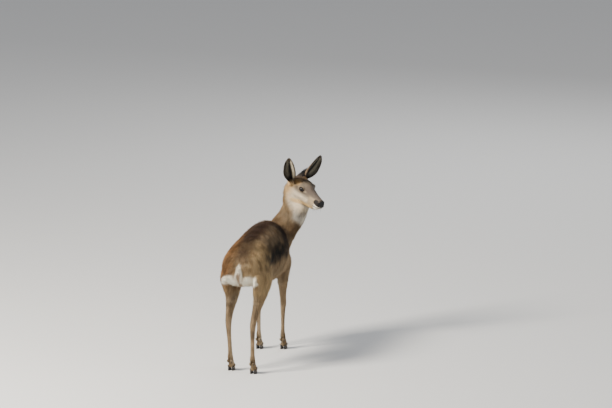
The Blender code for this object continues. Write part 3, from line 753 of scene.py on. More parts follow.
# %% [markdown]
# ### Ears
#
# A deer's ear is a leaf of gristle rolled into a cup, closed to a tube at its root and open above. We
# lay a leaf's outline on a cup whose roll loosens towards the tip, and carry an oval section along it,
# thick in the middle and rounded at the rim. A flat leaf bent by a modifier would open evenly and look
# like a spoon. Each ear then gets its own splay and turn: the right one is swung out to listen behind
# her and the left one is pricked ahead.

# %% The cup of an ear and its place on the head
EAR_CURL_BACK = 0.01
EAR_SKIN = 0.0024
EAR_FLESH = np.array((0.0145, 0.0145, 0.0185))
EAR_FLESH_PLACE = np.array((0.0085, 0.0, 0.001))
# side; root in shares of the head's length; how far it leans out and back, and how far it turns out
EARS = {
    "left": (1, (0.05, 0.138, 0.072), radians(25), radians(-8), radians(-12)),
    "right": (-1, (0.09, 0.168, 0.072), radians(27), radians(5), radians(48)),
}
# along, half width of the leaf laid flat, how far round the cup it wraps, in turns
EAR_STATIONS = (
    (0, 0.022, 0.43),
    (0.1, 0.028, 0.41),
    (0.24, 0.038, 0.33),
    (0.38, 0.044, 0.26),
    (0.52, 0.045, 0.22),
    (0.66, 0.04, 0.2),
    (0.8, 0.032, 0.18),
    (0.92, 0.02, 0.16),
    (1, 0.007, 0.15),
)


def ear_cup(along):
    """Half the angle that the leaf wraps, in radians, and the cup's radius: half width / angle."""
    rows = smooth_rows(EAR_STATIONS, np.linspace(0, 1, 400))
    half_width, wrap = (np.interp(along, rows[:, 0], rows[:, n]) for n in (1, 2))
    reach = wrap * 2 * pi
    return reach, half_width / reach


def ear_leaf(along, across, lift):
    """A place on the ear's leaf in the ear's own frame, and the outward normal there.

    angle = across · wrap; place = radius · (1 - cos angle) - curl · along², radius · sin angle, height.
    """
    reach, radius = ear_cup(along)
    angle = across * reach
    out = columns(-np.cos(angle), np.sin(angle), 0)
    middle = columns(radius - EAR_CURL_BACK * along**2, 0, along * EAR_LENGTH)
    return middle + out * (radius + lift)[..., None], out


def ear_turn(name):
    """The turn from an ear's own frame to the head's."""
    side, _, splay, lean, swing = EARS[name]
    tilt = Matrix.Rotation(-side * splay, 3, "X") @ Matrix.Rotation(-lean, 3, "Y")
    return np.array(tilt @ Matrix.Rotation(side * swing, 3, "Z"))


def ear_start(name):
    """The middle of an ear's root in the head's frame, in metres."""
    side, root = EARS[name][:2]
    return np.array(root) * (1, side, 1) * HEAD_LENGTH


def from_ear(points, name):
    """Points of an ear's own frame carried to the animal's frame."""
    return from_head(ear_start(name) + points @ ear_turn(name).T)


def ear_rings():
    """An oval section with a rounded rim, carried up the leaf: lift = thickness/2 · |sin|^0.4."""
    along = crowded(0, 1, 90, ((1, 0.1, 1),))[:, None]
    angle = around(72)
    thickness = EAR_SKIN * (1.5 - 0.7 * along)
    ribs = 0.0006 * np.cos(np.cos(angle) * 9) * (np.sin(angle) < 0) * ramp(along, 0.7, 0.3)
    lift = thickness / 2 * np.sign(np.sin(angle)) * np.abs(np.sin(angle)) ** 0.4 - ribs
    return ear_leaf(along, np.cos(angle), lift)[0]


for name in EARS:
    flesh = from_ear(ball_rings(EAR_FLESH_PLACE, EAR_FLESH, np.eye(3)), name)
    grown_on(skin, mesh_piece("ear_flesh", closed_loft(flesh)), 0.016, 60)
skin.data.calc_loop_triangles()
hide = {
    "points": places_of(skin),
    "normals": normals_of(skin),
    "triangles": read(skin.data.loop_triangles, "vertices", 3, True),
}
for name in EARS:
    rings = from_ear(domed(ear_rings(), (0.001, 0.0006), 3), name)
    grown_on(skin, mesh_piece("ear_form", closed_loft(rings)), 0.012, 40)

# %% [markdown]
# ## Camera, floor and light
#
# A long lens from thirty metres away keeps her proportions true, where a near one would swell the rump
# and shrink the head. She stands on a pale floor, lit by one soft lamp from the left and weaker ones
# around her, because soft light shows the coat's relief without hard shadows.

# %% Camera
VIEW_AZIMUTH = radians(16)
VIEW_HEIGHT = radians(12)
VIEW_DISTANCE = 30.0
VIEW_WIDTH = 3.221
VIEW_MIDDLE = (0.2453, 0.8121)


def turned_to(direction):
    """The turn of a lamp or a camera that looks that way."""
    return Vector(direction).to_track_quat("-Z", "Y").to_euler()


across = np.array((cos(VIEW_AZIMUTH), sin(VIEW_AZIMUTH), 0.0))
level = cos(VIEW_HEIGHT)
back = np.array((sin(VIEW_AZIMUTH) * level, -cos(VIEW_AZIMUTH) * level, sin(VIEW_HEIGHT)))
target = VIEW_MIDDLE[0] * across + VIEW_MIDDLE[1] * np.cross(back, across) + SHIFT
lens = bpy.data.cameras.new("camera")
lens.sensor_width = 36.0
lens.lens = lens.sensor_width * VIEW_DISTANCE / VIEW_WIDTH
lens.clip_end = 400.0
camera = in_scene("camera", lens)
camera.location = target + back * VIEW_DISTANCE
camera.rotation_euler = turned_to(-back)
bpy.context.scene.camera = camera
print("camera:", round(lens.lens), "mm lens at", camera.location)

# %% Floor and lamps
FLOOR_CORNER = 80.0
LAMPS = {
    # direction from her, distance, size, watts, colour
    "key": (-0.85 * across + 0.55 * back + (0, 0, 0.7), 6.0, 1.6, 1000, (1.0, 0.95, 0.86)),
    "fill": (0.95 * across + 0.45 * back + (0, 0, 0.25), 7.0, 4.0, 170, (0.94, 0.97, 1.0)),
    "rim": (0.3 * across - 0.9 * back + (0, 0, 0.7), 7.0, 3.0, 140, (0.94, 0.97, 1.0)),
}


def set_sockets(node, **values):
    """Give a shader node's sockets their values; _ stands for a space in their names."""
    for socket, value in values.items():
        node.inputs[socket.replace("_", " ")].default_value = value
    return node


floor_mesh = bpy.data.meshes.new("floor")
corners = [(x * FLOOR_CORNER, y * FLOOR_CORNER, 0) for x, y in ((-1, -1), (1, -1), (1, 1), (-1, 1))]
floor_mesh.from_pydata(corners, [], [(0, 1, 2, 3)])
floor = in_scene("floor", floor_mesh)
floor_look = bpy.data.materials.new("pale_floor")
floor_look.use_nodes = True
set_sockets(floor_look.node_tree.nodes["Principled BSDF"], Base_Color=(0.62, 0.61, 0.59, 1), Roughness=0.9)
floor.data.materials.append(floor_look)

for name, (direction, distance, size, watts, colour) in LAMPS.items():
    lamp = bpy.data.lights.new(name, "AREA")
    lamp.size = size
    lamp.energy = watts
    lamp.color = colour
    stand = in_scene(name, lamp)
    stand.location = unit(direction) * distance + (0, 0, 0.5)
    stand.rotation_euler = turned_to(-unit(direction))
sky = bpy.data.worlds.new("studio")
sky.use_nodes = True
set_sockets(sky.node_tree.nodes["Background"], Color=(0.88, 0.92, 1, 1), Strength=0.5)
bpy.context.scene.world = sky
print("lamps:", ", ".join(LAMPS))

# %% [markdown]
# ## Her markings
#
# One function gives the colour of any place on her, and both the skin and the hairs ask it, so they
# always agree. The colours are those of the winter coat: grey-brown back, darker along the spine,
# warmer haunches, a grey face with pale cheeks, black nose, white chin, a pale bib under the throat
# and the cream patch on the rump. Light and shade are painted in as well: a painted shadow on her right
# flank and shoulder, painted warm sunlight on her left haunch, the rear of her cheeks and the top of
# her neck, and painted fill light on her upper right flank. They are laid over each other like thin
# washes, each with a soft share, and a little noise breaks up every tone.

# %% Colours of the winter coat


def paint(red, green, blue):
    """A colour given on the usual 0-255 scale, made linear for the shader."""
    c = np.array((red, green, blue)) / 255
    return np.where(c <= 0.04045, c / 12.92, ((c + 0.055) / 1.055) ** 2.4)


BACK = paint(112, 90, 66)
SPINE = paint(74, 55, 43)
CROUP = paint(144, 120, 86)
FLANK = paint(150, 127, 97)
LOW_FLANK = paint(160, 137, 106)
# painted shadow: a near-black smudge on her right flank, behind the shoulder, stands for shade
PAINTED_FLANK_SHADOW = paint(30, 29, 31)
# mottled grey-brown coat of the upper right flank, made lighter as painted fill light because that side
# faces away from the lamps
GREYED_WITH_FILL = paint(150, 131, 106)
# painted shadow on her right shoulder, below the neck
PAINTED_SHOULDER_SHADOW = paint(46, 40, 43)
SHOULDER_BROWN = paint(150, 127, 98)
BELLY = paint(172, 156, 132)
# left haunch: warm brown coat with the orange of low sunlight from her left painted in
HAUNCH_LEFT_SUNLIT = paint(134, 96, 58)
HAUNCH_DARK = paint(98, 72, 48)
HAUNCH_RIGHT = paint(170, 145, 106)
NECK_LOW = paint(122, 97, 68)
NECK_PALE = paint(156, 137, 110)
NECK_BROWN = paint(140, 119, 92)
NAPE_BROWN = paint(128, 96, 62)
BIB = paint(210, 202, 187)
RUMP_CREAM = paint(250, 241, 222)
RUMP_LINE = paint(150, 118, 84)
LEG_FAWN = paint(146, 123, 94)
LEG_FRONT = paint(112, 92, 72)
LEG_PALE = paint(178, 158, 130)
TARSAL = paint(78, 62, 48)
FACE_GREY = paint(110, 98, 83)
CROWN_BROWN = paint(92, 77, 64)
CROWN_WARM = paint(138, 110, 76)
# painted shade: near-black for the tufts that stand for the shaded back of the far ear's base
CROWN_SHADE_DARK = paint(30, 28, 30)
BRIDGE = paint(94, 82, 73)
CHEEK_PALE = paint(204, 189, 165)
# painted warm sunlight on the rear of the cheeks, below the ears and at the top of the neck
SUNLIT_BUFF = paint(208, 170, 114)
JAW_FAWN = paint(196, 164, 112)
EYE_RING = paint(178, 158, 130)
LID_DARK = paint(34, 27, 24)
MUZZLE_PALE = paint(166, 146, 116)
LIP_BLACK = paint(36, 31, 29)
CHIN_WHITE = paint(228, 221, 206)
LEATHER = paint(20, 18, 19)
NOSTRIL_BLACK = paint(3, 2, 2)
EAR_BACK = paint(116, 97, 77)
EAR_RIM = paint(56, 45, 37)
EAR_PALE = paint(146, 137, 118)
EAR_HOLLOW = paint(38, 34, 31)


def nose_share(q):
    """Share of bare nose leather, from places in the head's frame in shares of its length."""
    along, side, up = q[:, 0], np.abs(q[:, 1]), q[:, 2]
    front = ramp(along, 0.952, 0.966) * ramp(up, -0.036, -0.022)
    return front * ramp(side, 0.101, 0.091) * ramp(up, 0.122, 0.1)


def laid_over(colour, layers):
    """Each tone laid over the last with its own soft share."""
    for tone, share in layers:
        colour = mix(colour, tone, share)
    return colour


def head_colours(points):
    """Colours of the head, from the crown and the bridge of the nose to lips, lids and leather."""
    metres = to_head(points)
    q = metres / HEAD_LENGTH
    along, side, up = q[:, 0], np.abs(q[:, 1]), q[:, 2]
    lip = up - mouth_height(along)
    opening = eye_opening(metres)
    side_of_nose = np.hypot((along - 0.55) / 0.075, (up - 0.045 - 0.3 * (along - 0.5)) / 0.024)
    jaw = np.abs(up + 0.205 - 0.12 * (along - 0.5))
    below_ear = np.hypot((along - 0.27) / 0.11, (up - 0.17) / 0.07)
    muzzle = np.hypot((along - 0.921 + 0.35 * up) / 0.088, (up - 0.03) / 0.064)
    muzzle += 0.16 * lumps(points, 0.005, 14)
    nostril = np.hypot((side - 0.06) / 0.026, (up - 0.02) / 0.017)
    cheek = ramp(side, 0.07, 0.14) * ramp(up, 0.06, -0.06) * ramp(along, 0.1, 0.22) * ramp(along, 0.76, 0.6)
    return laid_over(np.repeat(FACE_GREY[None], len(points), 0), (
        (CROWN_WARM, ramp(up, 0.08, 0.16) * ramp(along, 0.4, 0.2)),
        (CROWN_BROWN, ramp(up, 0.16, 0.22) * ramp(along, 0.32, 0.18)),
        (BRIDGE, ramp(up, 0.06, 0.13) * ramp(along, 0.42, 0.56)),
        (CHEEK_PALE, cheek * 0.88),
        (EYE_RING, ramp(opening, -1.6, -0.8) * 0.45),
        (MUZZLE_PALE, ramp(side, 0.03, 0.09) * ramp(up, 0.1, 0.05) * ramp(along, 0.62, 0.74) * 0.85),
        (LEATHER, 0.75 * ramp(along, 0.905, 0.95) * ramp(up, 0.07, 0.095)),
        (BRIDGE, 0.8 * ramp(side_of_nose, 1.1, 0.5) * ramp(side, 0.08, 0.12)),
        (JAW_FAWN, ramp(jaw, 0.07, 0.02) * ramp(along, 0.22, 0.4) * 0.8 * ramp(along, 0.86, 0.74)),
        (CHEEK_PALE, ramp(up, -0.235, -0.31) * ramp(along, 0.72, 0.55) * 0.8),
        # painted warm sunlight on the rear of the cheek and below the ear
        (SUNLIT_BUFF, ramp(along, 0.33, 0.13) * ramp(up, 0.15, 0.04) * ramp(side, 0.06, 0.13) * 0.65),
        (SUNLIT_BUFF, ramp(below_ear, 1.2, 0.4) * 0.5),
        (CHIN_WHITE, ramp(along, 0.82, 0.9) * ramp(up, 0.05, -0.01) * 0.85),
        (LIP_BLACK, ramp(muzzle, 1.15, 0.88) * ramp(side, 0.04, 0.06)),
        (CHIN_WHITE, ramp(lip, -0.008, -0.03) * ramp(along, 0.81, 0.89)),
        (LIP_BLACK, ramp(np.abs(lip), 0.014, 0.006) * ramp(along, 0.8, 0.825)),
        (LID_DARK, ramp(opening, -0.78, -0.42)),
        (LEATHER, nose_share(q)),
        (NOSTRIL_BLACK, ramp(nostril, 1.25, 0.75) * ramp(along, 0.94, 0.96)),
    ))


def leg_line(slices, step, height):
    """The place of a leg's middle line, between its front and rear edge, at each height."""
    rows = np.array(slices)[::-1]
    return np.interp(height, rows[:, 0], (rows[:, 2] + rows[:, 3]) / 2) + lead(slices, step, height)


def leg_front(points):
    """Share of the front of a leg: how far a place lies before the leg's middle line."""
    x, y, z = points.T
    ahead = np.zeros(len(z))
    for slices, side, step in LEGS.values():
        own = (np.sign(x) == side) & ((y > 0) == (slices[0][2] > 0))
        ahead = np.where(own, y - leg_line(slices, step, z), ahead)
    return ramp(ahead, 0, 0.01)


def markings(points):
    """Colour of the coat at each place of the animal's frame, with painted shadow and sunlight; wander
    shifts the borders a little.
    """
    x, y, z = points.T
    aside = np.abs(x)
    share = regions(points)
    neck, leg, limb, rump = share["neck"], share["leg"], share["limb"], rump_share(points)
    behind = ramp(y, 0, -0.15)
    wander = 0.014 * lumps(points, 0.045, 5)
    right, up = x + wander, z + wander
    # shade: how far a place lies from the middle of the painted shadow on her right flank
    shade = np.hypot((y + 0.01) / 0.185, (z - 0.582 + wander) / 0.045) + 0.34 * lumps(points, 0.026, 13)
    nape = (points - HEAD_CUT) @ np.array((-sin(HEAD_TURN), -cos(HEAD_TURN), 0))
    bib = norm((points - (0.148, 0.308, 0.734)) / (0.046, 0.052, 0.046), axis=1)
    hock = np.hypot((z - 0.215) / 0.028, (y + 0.375) / 0.022)
    # the upper right flank: mottled grey-brown coat, lightened as painted fill light
    greyed_with_fill = ramp(right, 0.01, 0.055) * ramp(np.abs(y - 0.01 + 3 * wander), 0.19, 0.11)
    # where the painted shadow on her right shoulder lies
    shoulder_shadow = ramp(right, 0.01, 0.07) * ramp(np.abs(y - 0.17 + wander), 0.09, 0.02) * ramp(up, 0.52, 0.6)
    spine = ramp(aside - 0.045 * (x < 0) + wander, 0.075, 0.02) * ramp(z, 0.58, 0.66)
    # the left haunch, where painted warm sunlight lies over the coat
    sunlit_haunch = ramp(right, -0.01, -0.07) * ramp(y + 4 * wander, 0.07, -0.22) * 0.95
    streak = ramp(right, -0.01, -0.06) * ramp(y, 0.06, -0.14) * ramp(z, 0.47, 0.5)
    colour = laid_over(np.zeros((len(x), 3)), (
        (FLANK, np.ones(len(x))),
        (LOW_FLANK, ramp(up, 0.54, 0.47)),
        (BACK, ramp(up, 0.58, 0.66)),
        (CROUP, ramp(lumps(points, 0.05, 7), -0.35, 0.2) * behind * 0.85),
        (HAUNCH_RIGHT, ramp(right, 0.01, 0.06) * ramp(y, -0.08, -0.2) * 0.85),
        (BACK, ramp(lumps(points, 0.026, 8), 0.05, 0.45) * behind * ramp(z, 0.5, 0.56) * 0.55),
        (SHOULDER_BROWN, limb * (1 - behind) * 0.9),
        # mottled coat of the upper right flank, lightened as painted fill light
        (GREYED_WITH_FILL, greyed_with_fill * ramp(up, 0.6, 0.645) * (0.62 + 0.38 * lumps(points, 0.015, 13))),
        # painted shadow on her right shoulder
        (PAINTED_SHOULDER_SHADOW, shoulder_shadow * 0.75),
        # painted shadow on her right flank
        (PAINTED_FLANK_SHADOW, ramp(right, 0.04, 0.085) * ramp(shade, 1.6, 0.3) * 0.95),
        (SPINE, spine * (0.55 + 0.45 * ramp(y, -0.26, -0.14))),
        # painted warm sunlight on the left haunch
        (HAUNCH_LEFT_SUNLIT, sunlit_haunch * ramp(z + 2 * wander, 0.395, 0.535)),
        (HAUNCH_DARK, streak * ramp(lumps(points / (1, 3, 3), 0.012, 9), -0.1, 0.5) * 0.8),
        (BELLY, ramp(up, 0.425, 0.402) * ramp(aside, 0.095, 0.06)),
        (NECK_BROWN, neck),
        (NECK_LOW, neck * ramp(z, 0.76, 0.68)),
        (NECK_PALE, neck * ramp(aside, 0.04, 0.085) * ramp(up, 0.66, 0.74) * 0.65),
        # painted warm sunlight at the top of the neck
        (SUNLIT_BUFF, neck * ramp(up, 0.735, 0.79) * 0.28),
        (LEG_FAWN, np.maximum(leg, ramp(z, 0.44, 0.38) * limb)),
        (LEG_FRONT, leg * ramp(z, 0.3, 0.22) * leg_front(points) * 0.8),
        (LEG_PALE, np.maximum(leg, ramp(z, 0.46, 0.4) * limb) * ramp(aside, 0.068, 0.05)),
        (TARSAL, leg * behind * ramp(hock, 1.1, 0.6) * 0.6),
        (RUMP_CREAM, rump),
        (RUMP_LINE, rump * ramp(aside, 0.011, 0.004) * ramp(z, 0.568, 0.552) * 0.85),
        (NAPE_BROWN, neck * ramp(nape, 0.02, 0.06) * 0.7),
        (BIB, ramp(bib + 20 * wander, 1.35, 0.7) * 0.9),
        (head_colours(points), share["head"]),
    ))
    broken = 1 - 0.6 * np.maximum(share["head"], rump)
    tone = 1 + broken * (0.2 * lumps(points, 0.026, 11) + 0.28 * lumps(points / (1, 1, 2.2), 0.011, 12))
    tone += share["head"] * (0.1 * lumps(points, 0.006, 16) + 0.13 * lumps(points, 0.015, 18))
    return colour * tone[:, None]


# %% Colours of the ears


def ear_place(points, name):
    """Where points lie on an ear: share along and across it, lift off the leaf, and whether they do."""
    local = (to_head(points) - ear_start(name)) @ ear_turn(name)
    along = local[:, 2] / EAR_LENGTH
    reach, radius = ear_cup(along)
    ahead = local[:, 0] - radius + EAR_CURL_BACK * along**2
    lift = norm(columns(ahead, local[:, 1]), axis=1) - radius
    across = np.arctan2(local[:, 1], -ahead) / reach
    on = (np.abs(lift) < 0.003) & (along > 0.04) & (along < 1.03) & (np.abs(across) < 1.12)
    return along, across, lift, on


def ear_colours(along, across, outer):
    """Grey-brown back with a dark rim and tip; inside, pale towards the edges round a dusky hollow."""
    aside = np.abs(across)
    rim = np.maximum(ramp(aside, 0.82, 0.96), ramp(along, 0.86, 0.97))
    inside = mix(EAR_HOLLOW, EAR_PALE, ramp(aside, 0.12, 0.42) * (1 - 0.45 * ramp(aside, 0.5, 0.8)))
    inside = mix(inside, EAR_HOLLOW * 0.35, ramp(along, 0.34, 0.16) * 0.8)
    return mix(np.where(outer[:, None], EAR_BACK, inside), EAR_RIM, rim * np.where(outer, 0.85, 0.9))


def colours_of(points):
    """Markings of the whole skin, ears included."""
    colour = markings(points)
    for name in EARS:
        along, across, lift, on = ear_place(points, name)
        above = ramp(norm(points - from_ear(np.zeros((1, 3)), name), axis=1), 0.03, 0.045)
        colour = mix(colour, ear_colours(along, across, lift > 0), on * above)
    return colour


# %% [markdown]
# ## Finishes
#
# Hair, hide, nose leather, eye and horn each get a shader of their own. The colours come from the
# mesh, and the shader adds what is too fine to model: the relief of pores, speckle in the colour, and
# the wet gloss of nose and eyes.

# %% Shaders
# Reliefs: kind of pattern, its sockets, the output used, strength, distance, whether turned inside out
PORES = ("TexNoise", {"Scale": 520, "Detail": 4}, "Fac", 0.55, 0.0012, False)
RIDGES = ("TexNoise", {"Scale": 160, "Detail": 4}, "Fac", 0.35, 0.0008, False)
PEBBLES = ("TexVoronoi", {"Scale": 1000}, "Distance", 0.35, 0.0004, True)


def finish(name, relief=None, speckle=0.0, stretch=(1, 1, 1), **sockets):
    """A Principled shader on the mesh's own colours, with a relief and a speckle of fine noise."""
    made = bpy.data.materials.new(name)
    made.use_nodes = True
    tree = made.node_tree
    shader = set_sockets(tree.nodes["Principled BSDF"], **sockets)

    def node(kind, **values):
        """A new node of the tree, with those values."""
        return set_sockets(tree.nodes.new("ShaderNode" + kind), **values)

    mapping = node("Mapping", Scale=stretch)
    tree.links.new(node("TexCoord").outputs["Object"], mapping.inputs["Vector"])
    colour = node("Attribute")
    colour.attribute_name = "coat_colour"
    source = colour.outputs["Color"]
    if speckle:
        fine = node("TexNoise", Scale=420, Detail=3)
        strength = node("MapRange", From_Min=0.25, From_Max=0.75, To_Min=1 - speckle, To_Max=1 + speckle)
        scaled = node("VectorMath")
        scaled.operation = "SCALE"
        tree.links.new(mapping.outputs["Vector"], fine.inputs["Vector"])
        tree.links.new(fine.outputs["Fac"], strength.inputs["Value"])
        tree.links.new(source, scaled.inputs[0])
        tree.links.new(strength.outputs["Result"], scaled.inputs["Scale"])
        source = scaled.outputs["Vector"]
    tree.links.new(source, shader.inputs["Base Color"])
    if relief:
        kind, values, output, strength, distance, inside_out = relief
        pattern = node(kind, **values)
        bump = node("Bump", Strength=strength, Distance=distance)
        bump.invert = inside_out
        tree.links.new(mapping.outputs["Vector"], pattern.inputs["Vector"])
        tree.links.new(pattern.outputs[output], bump.inputs["Height"])
        tree.links.new(bump.outputs["Normal"], shader.inputs["Normal"])
    return made


hair_look = finish("winter_hair", speckle=0.1, Roughness=0.62, Specular_IOR_Level=0.25)
hide_look = finish("hide_under_hair", PORES, 0.25, Roughness=0.75, Specular_IOR_Level=0.2)
eye_look = finish("wet_eye", Roughness=0.04, Specular_IOR_Level=0.25, Coat_Weight=0.25, Coat_Roughness=0.02)
horn_look = finish("hoof_horn", RIDGES, 0.3, (1, 1, 4), Roughness=0.42)
leather_look = finish("nose_leather", PEBBLES, Roughness=0.5, Specular_IOR_Level=0.22)


def coloured(obj, colours, *looks):
    """Store a colour for each vertex and give the object its finishes."""
    rgba = np.concatenate([colours, np.ones((len(colours), 1))], 1)
    layer = obj.data.attributes.new("coat_colour", "FLOAT_COLOR", "POINT")
    layer.data.foreach_set("color", np.clip(rgba, 0, 1).astype(np.float32).ravel())
    obj.data.materials.clear()
    for look in looks:
        obj.data.materials.append(look)


# %% Colour the skin and set it in place
points = places_of(skin)
coloured(skin, colours_of(points), hide_look, leather_look)
bare = nose_share(to_head(read(skin.data.polygons, "center")) / HEAD_LENGTH) > 0.5
skin.data.polygons.foreach_set("material_index", bare.astype(np.int32))
skin.data.shade_smooth()
move_to(skin, points + SHIFT)
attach(skin, "root")
FLESH = ["head", "neck", "trunk", "tail", "ear_left", "ear_right", "foreleg_left", "foreleg_right"]
FLESH += [f"hindleg_{side}_{end}" for side in ("left", "right") for end in ("upper", "lower")]
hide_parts(*FLESH)
print("skin replaces", len(FLESH), "solid parts")

# %% [markdown]
# ## Hair
#
# Blender's hair curves are no mesh, so fur that has to leave it as solid pieces is grown as tufts.
# Each tuft is a tiny closed blade with a keel: a flat three-sided root, a bend in the middle and a
# sharp tip. It leaves the skin at a slant and bends back along the lie of the coat. Short hair, and
# the fine hair between the blades, needs only a straight spike. Tens of thousands of them are worked
# out as one array.

# %% The lie of the coat


def lie_of(points, normals):
    """Direction in which the hair lies: a blend of each region's own, laid flat on the skin."""
    share = regions(points)
    x, y, z = points.T
    flow = unit(columns(0, -1, -0.25 - 2.2 * np.abs(x)))
    nearest = np.abs(z[:, None] - NECK_ROWS[None, :, 2]).argmin(1)
    q = to_head(points) / HEAD_LENGTH
    over_face = columns(-1, 0.1 * np.sign(q[:, 1]), -0.45 * ramp(q[:, 2], 0.05, -0.2)) @ HEAD_AXES
    for other, weight in (
        ((0, 0.15, -1), ramp(y, 0.24, 0.31) * ramp(z, 0.66, 0.6)),
        ((0, -0.6, -0.8), share["limb"] * 0.9),
        (columns(6 * x, -0.3, -0.75), ramp(y, -0.26, -0.34)),
        ((0, -0.1, -1), share["leg"]),
        (-NECK_AXIS[nearest], share["neck"]),
        (over_face, share["head"]),
    ):
        flow = mix(flow, unit(np.broadcast_to(other, flow.shape)), weight)
    flow = flat_on(flow, normals)
    swirl = 0.22 * lumps(points, 0.04, 21) + 0.12 * lumps(points, 0.012, 22)
    return unit(flow + np.cross(normals, flow) * swirl[:, None])


# %% Roots spread over the skin


def roots_on(triangles, density, count, seed):
    """Random places on the triangles, one for each equal share of area · density, and their normals."""
    rng = np.random.default_rng(seed)
    corners = hide["points"][triangles]
    area = norm(np.cross(corners[:, 1] - corners[:, 0], corners[:, 2] - corners[:, 0]), axis=1) / 2
    total = np.cumsum(area * density)
    chosen = np.searchsorted(total, (np.arange(count) + rng.random(count)) / count * total[-1])
    u, v = rng.random((2, count))
    flip = u + v > 1
    u, v = np.where(flip, 1 - u, u), np.where(flip, 1 - v, v)
    weights = columns(1 - u - v, u, v)[..., None]
    place = (corners[chosen] * weights).sum(1)
    return place, unit((hide["normals"][triangles[chosen]] * weights).sum(1)), rng


# %% Blades and spikes
PATCH = 0.003  # width of a tuft's own patch on the unrolled skin
SINK = 0.0008
# quads, triangles, corners of the patch, share of the way and half width of each ring, shades
BLADE = (((0, 1, 4, 3), (1, 2, 5, 4), (2, 0, 3, 5)), ((0, 2, 1), (3, 4, 6), (4, 5, 6), (5, 3, 6)),
         ((-1, -1), (1, -1), (0, -0.8), (-1, 0.2), (1, 0.2), (0, 0.3), (0, 1)),
         ((0, 0.34), (0.48, 0.5)), (0.78, 1))
SPIKE = (np.zeros((0, 4), int), ((0, 2, 1), (0, 1, 3), (1, 2, 3), (2, 0, 3)),
         ((-1, -1), (1, -1), (0, -0.8), (0, 1)), ((0, 0.5),), (0.78,))


def tufts(name, roots, normals, lie, length, width, tones, unrolled, rng, lift, bend, form=BLADE):
    """One closed blade or spike for each root.

    place(s) = root + length · (lie · s + normal · (lift · s - bend · s²) + side · sway · s²)
    """
    quads, triangles, patch, rings, shades = form
    count = len(roots)
    side = np.cross(normals, lie)
    sway = rng.normal(0, 0.1, count)[:, None]
    lift, length, width = ((value * (1 + rng.normal(0, spread, count)))[:, None]
                           for value, spread in ((lift, 0.16), (length, 0.14), (width, 0.15)))

    def along(s):
        """The tufts' middle lines at the share s."""
        bent = lie * s + normals * (lift * s - bend * s**2) + side * sway * s**2
        return roots - normals * SINK + length * bent

    parts = []
    for s, half in rings:
        middle, reach = along(s), width * half
        parts += [middle - side * reach, middle + side * reach, middle + normals * width * half * 0.8]
    points = np.stack(parts + [along(1.0)], 1).reshape(-1, 3)
    corners = len(patch)
    start = (np.arange(count) * corners)[:, None, None]
    faces = [(np.array(rows)[None] + start).reshape(-1, np.shape(rows)[1]) for rows in (quads, triangles)]
    made = mesh_piece(name, (points + SHIFT, *faces))
    fade = 1 - (1 - np.array([*np.repeat(shades, 3), 1.1])) * np.linspace(1, 0.8, corners)
    coloured(made, (tones[:, None, :] * fade[None, :, None]).reshape(-1, 3), hair_look)
    chart = (np.array(patch) * PATCH / 2)[None] + unrolled[:, None, :]
    chart = chart.reshape(-1, 2)[read(made.data.loops, "vertex_index", 1, True)[:, 0]]
    made.data.uv_layers.new(name="OFBake").uv.foreach_set("vector", chart.astype(np.float32).ravel())
    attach(made, "root")
    print(name, count, "tufts,", len(made.data.vertices), "points")
    return made


def tones_at(colours, rng):
    """Each tuft's own tone: lighter or darker by a random share, and a little warmer or greyer."""
    bright = np.exp(rng.normal(0, 0.1, len(colours)))[:, None]
    warm = 1 + rng.normal(0, 0.035, len(colours))[:, None] * np.array((1, 0, -1))
    return colours * bright * warm


def unrolled_about(points, middle, axis, low, high):
    """The skin unrolled as a cylinder: u is the angle round the axis, v the share along it."""
    others = [n for n in range(3) if n != axis]
    away = points - middle
    u = np.arctan2(away[:, others[0]], away[:, others[1]]) / (2 * pi) + 0.5
    v = (points[:, axis] - low) / (high - low)
    return 0.01 + 0.98 * np.clip(columns(u, v), 0, 1)


def head_chart(roots):
    """The head unrolled about its own axis."""
    return unrolled_about(to_head(roots), np.zeros(3), 0, -0.1, 0.25)


# %% [markdown]
# ### Coat of the trunk, neck, legs and head
#
# The skin's triangles are sorted into regions, and each region is one piece of coat, so that no piece
# grows too heavy. Long coarse hair makes the coat's outline, and finer hair fills the gaps between.
# Bare places get no roots: the leather of the nose, the opening of the eyes and the lids' edges.

# %% Sort the skin into regions
middles = hide["points"][hide["triangles"]].mean(1)
share = regions(middles)
q = to_head(middles) / HEAD_LENGTH
hair_here = (nose_share(q) < 0.5) & (eye_opening(to_head(middles)) < -0.24) & (middles[:, 2] > 0.021)
lip_line = (np.abs(q[:, 2] - mouth_height(q[:, 0])) < 0.009) & (q[:, 0] > 0.78) & (share["head"] > 0.9)
hair_here &= ~lip_line
fore = middles[:, 1] > 0
kind = np.where(fore, "trunk_front", "trunk_rear")
kind[rump_share(middles) > 0.5] = "rump"
kind[share["neck"] > 0.5] = "neck"
kind = np.where(share["leg"] > 0.5, np.where(fore, "foreleg", "hindleg"), kind)
kind[share["head"] > 0.5] = "head"
EASY = 1.0
WIDER = EASY**-0.5
PIECES = (
    # layer, region, tufts, form, width as a share of the length, lift, bend
    ("coat", "trunk_front", 9500, BLADE, 0.062, 0.5, 0.2),
    ("coat", "trunk_rear", 10500, BLADE, 0.062, 0.5, 0.2),
    ("coat", "rump", 4500, BLADE, 0.062, 0.5, 0.18),
    ("coat", "neck", 10500, BLADE, 0.058, 0.46, 0.16),
    ("fine", "trunk_front", 14000, SPIKE, 0.052, 0.27, 0),
    ("fine", "trunk_rear", 15000, SPIKE, 0.052, 0.27, 0),
    ("fine", "rump", 6500, SPIKE, 0.052, 0.28, 0),
    ("fine", "neck", 14500, SPIKE, 0.05, 0.26, 0),
    ("coat", "head", 47000, SPIKE, 0.115, 0.26, 0),
    ("coat", "foreleg", 17000, SPIKE, 0.12, 0.26, 0),
    ("coat", "hindleg", 19000, SPIKE, 0.12, 0.26, 0),
)
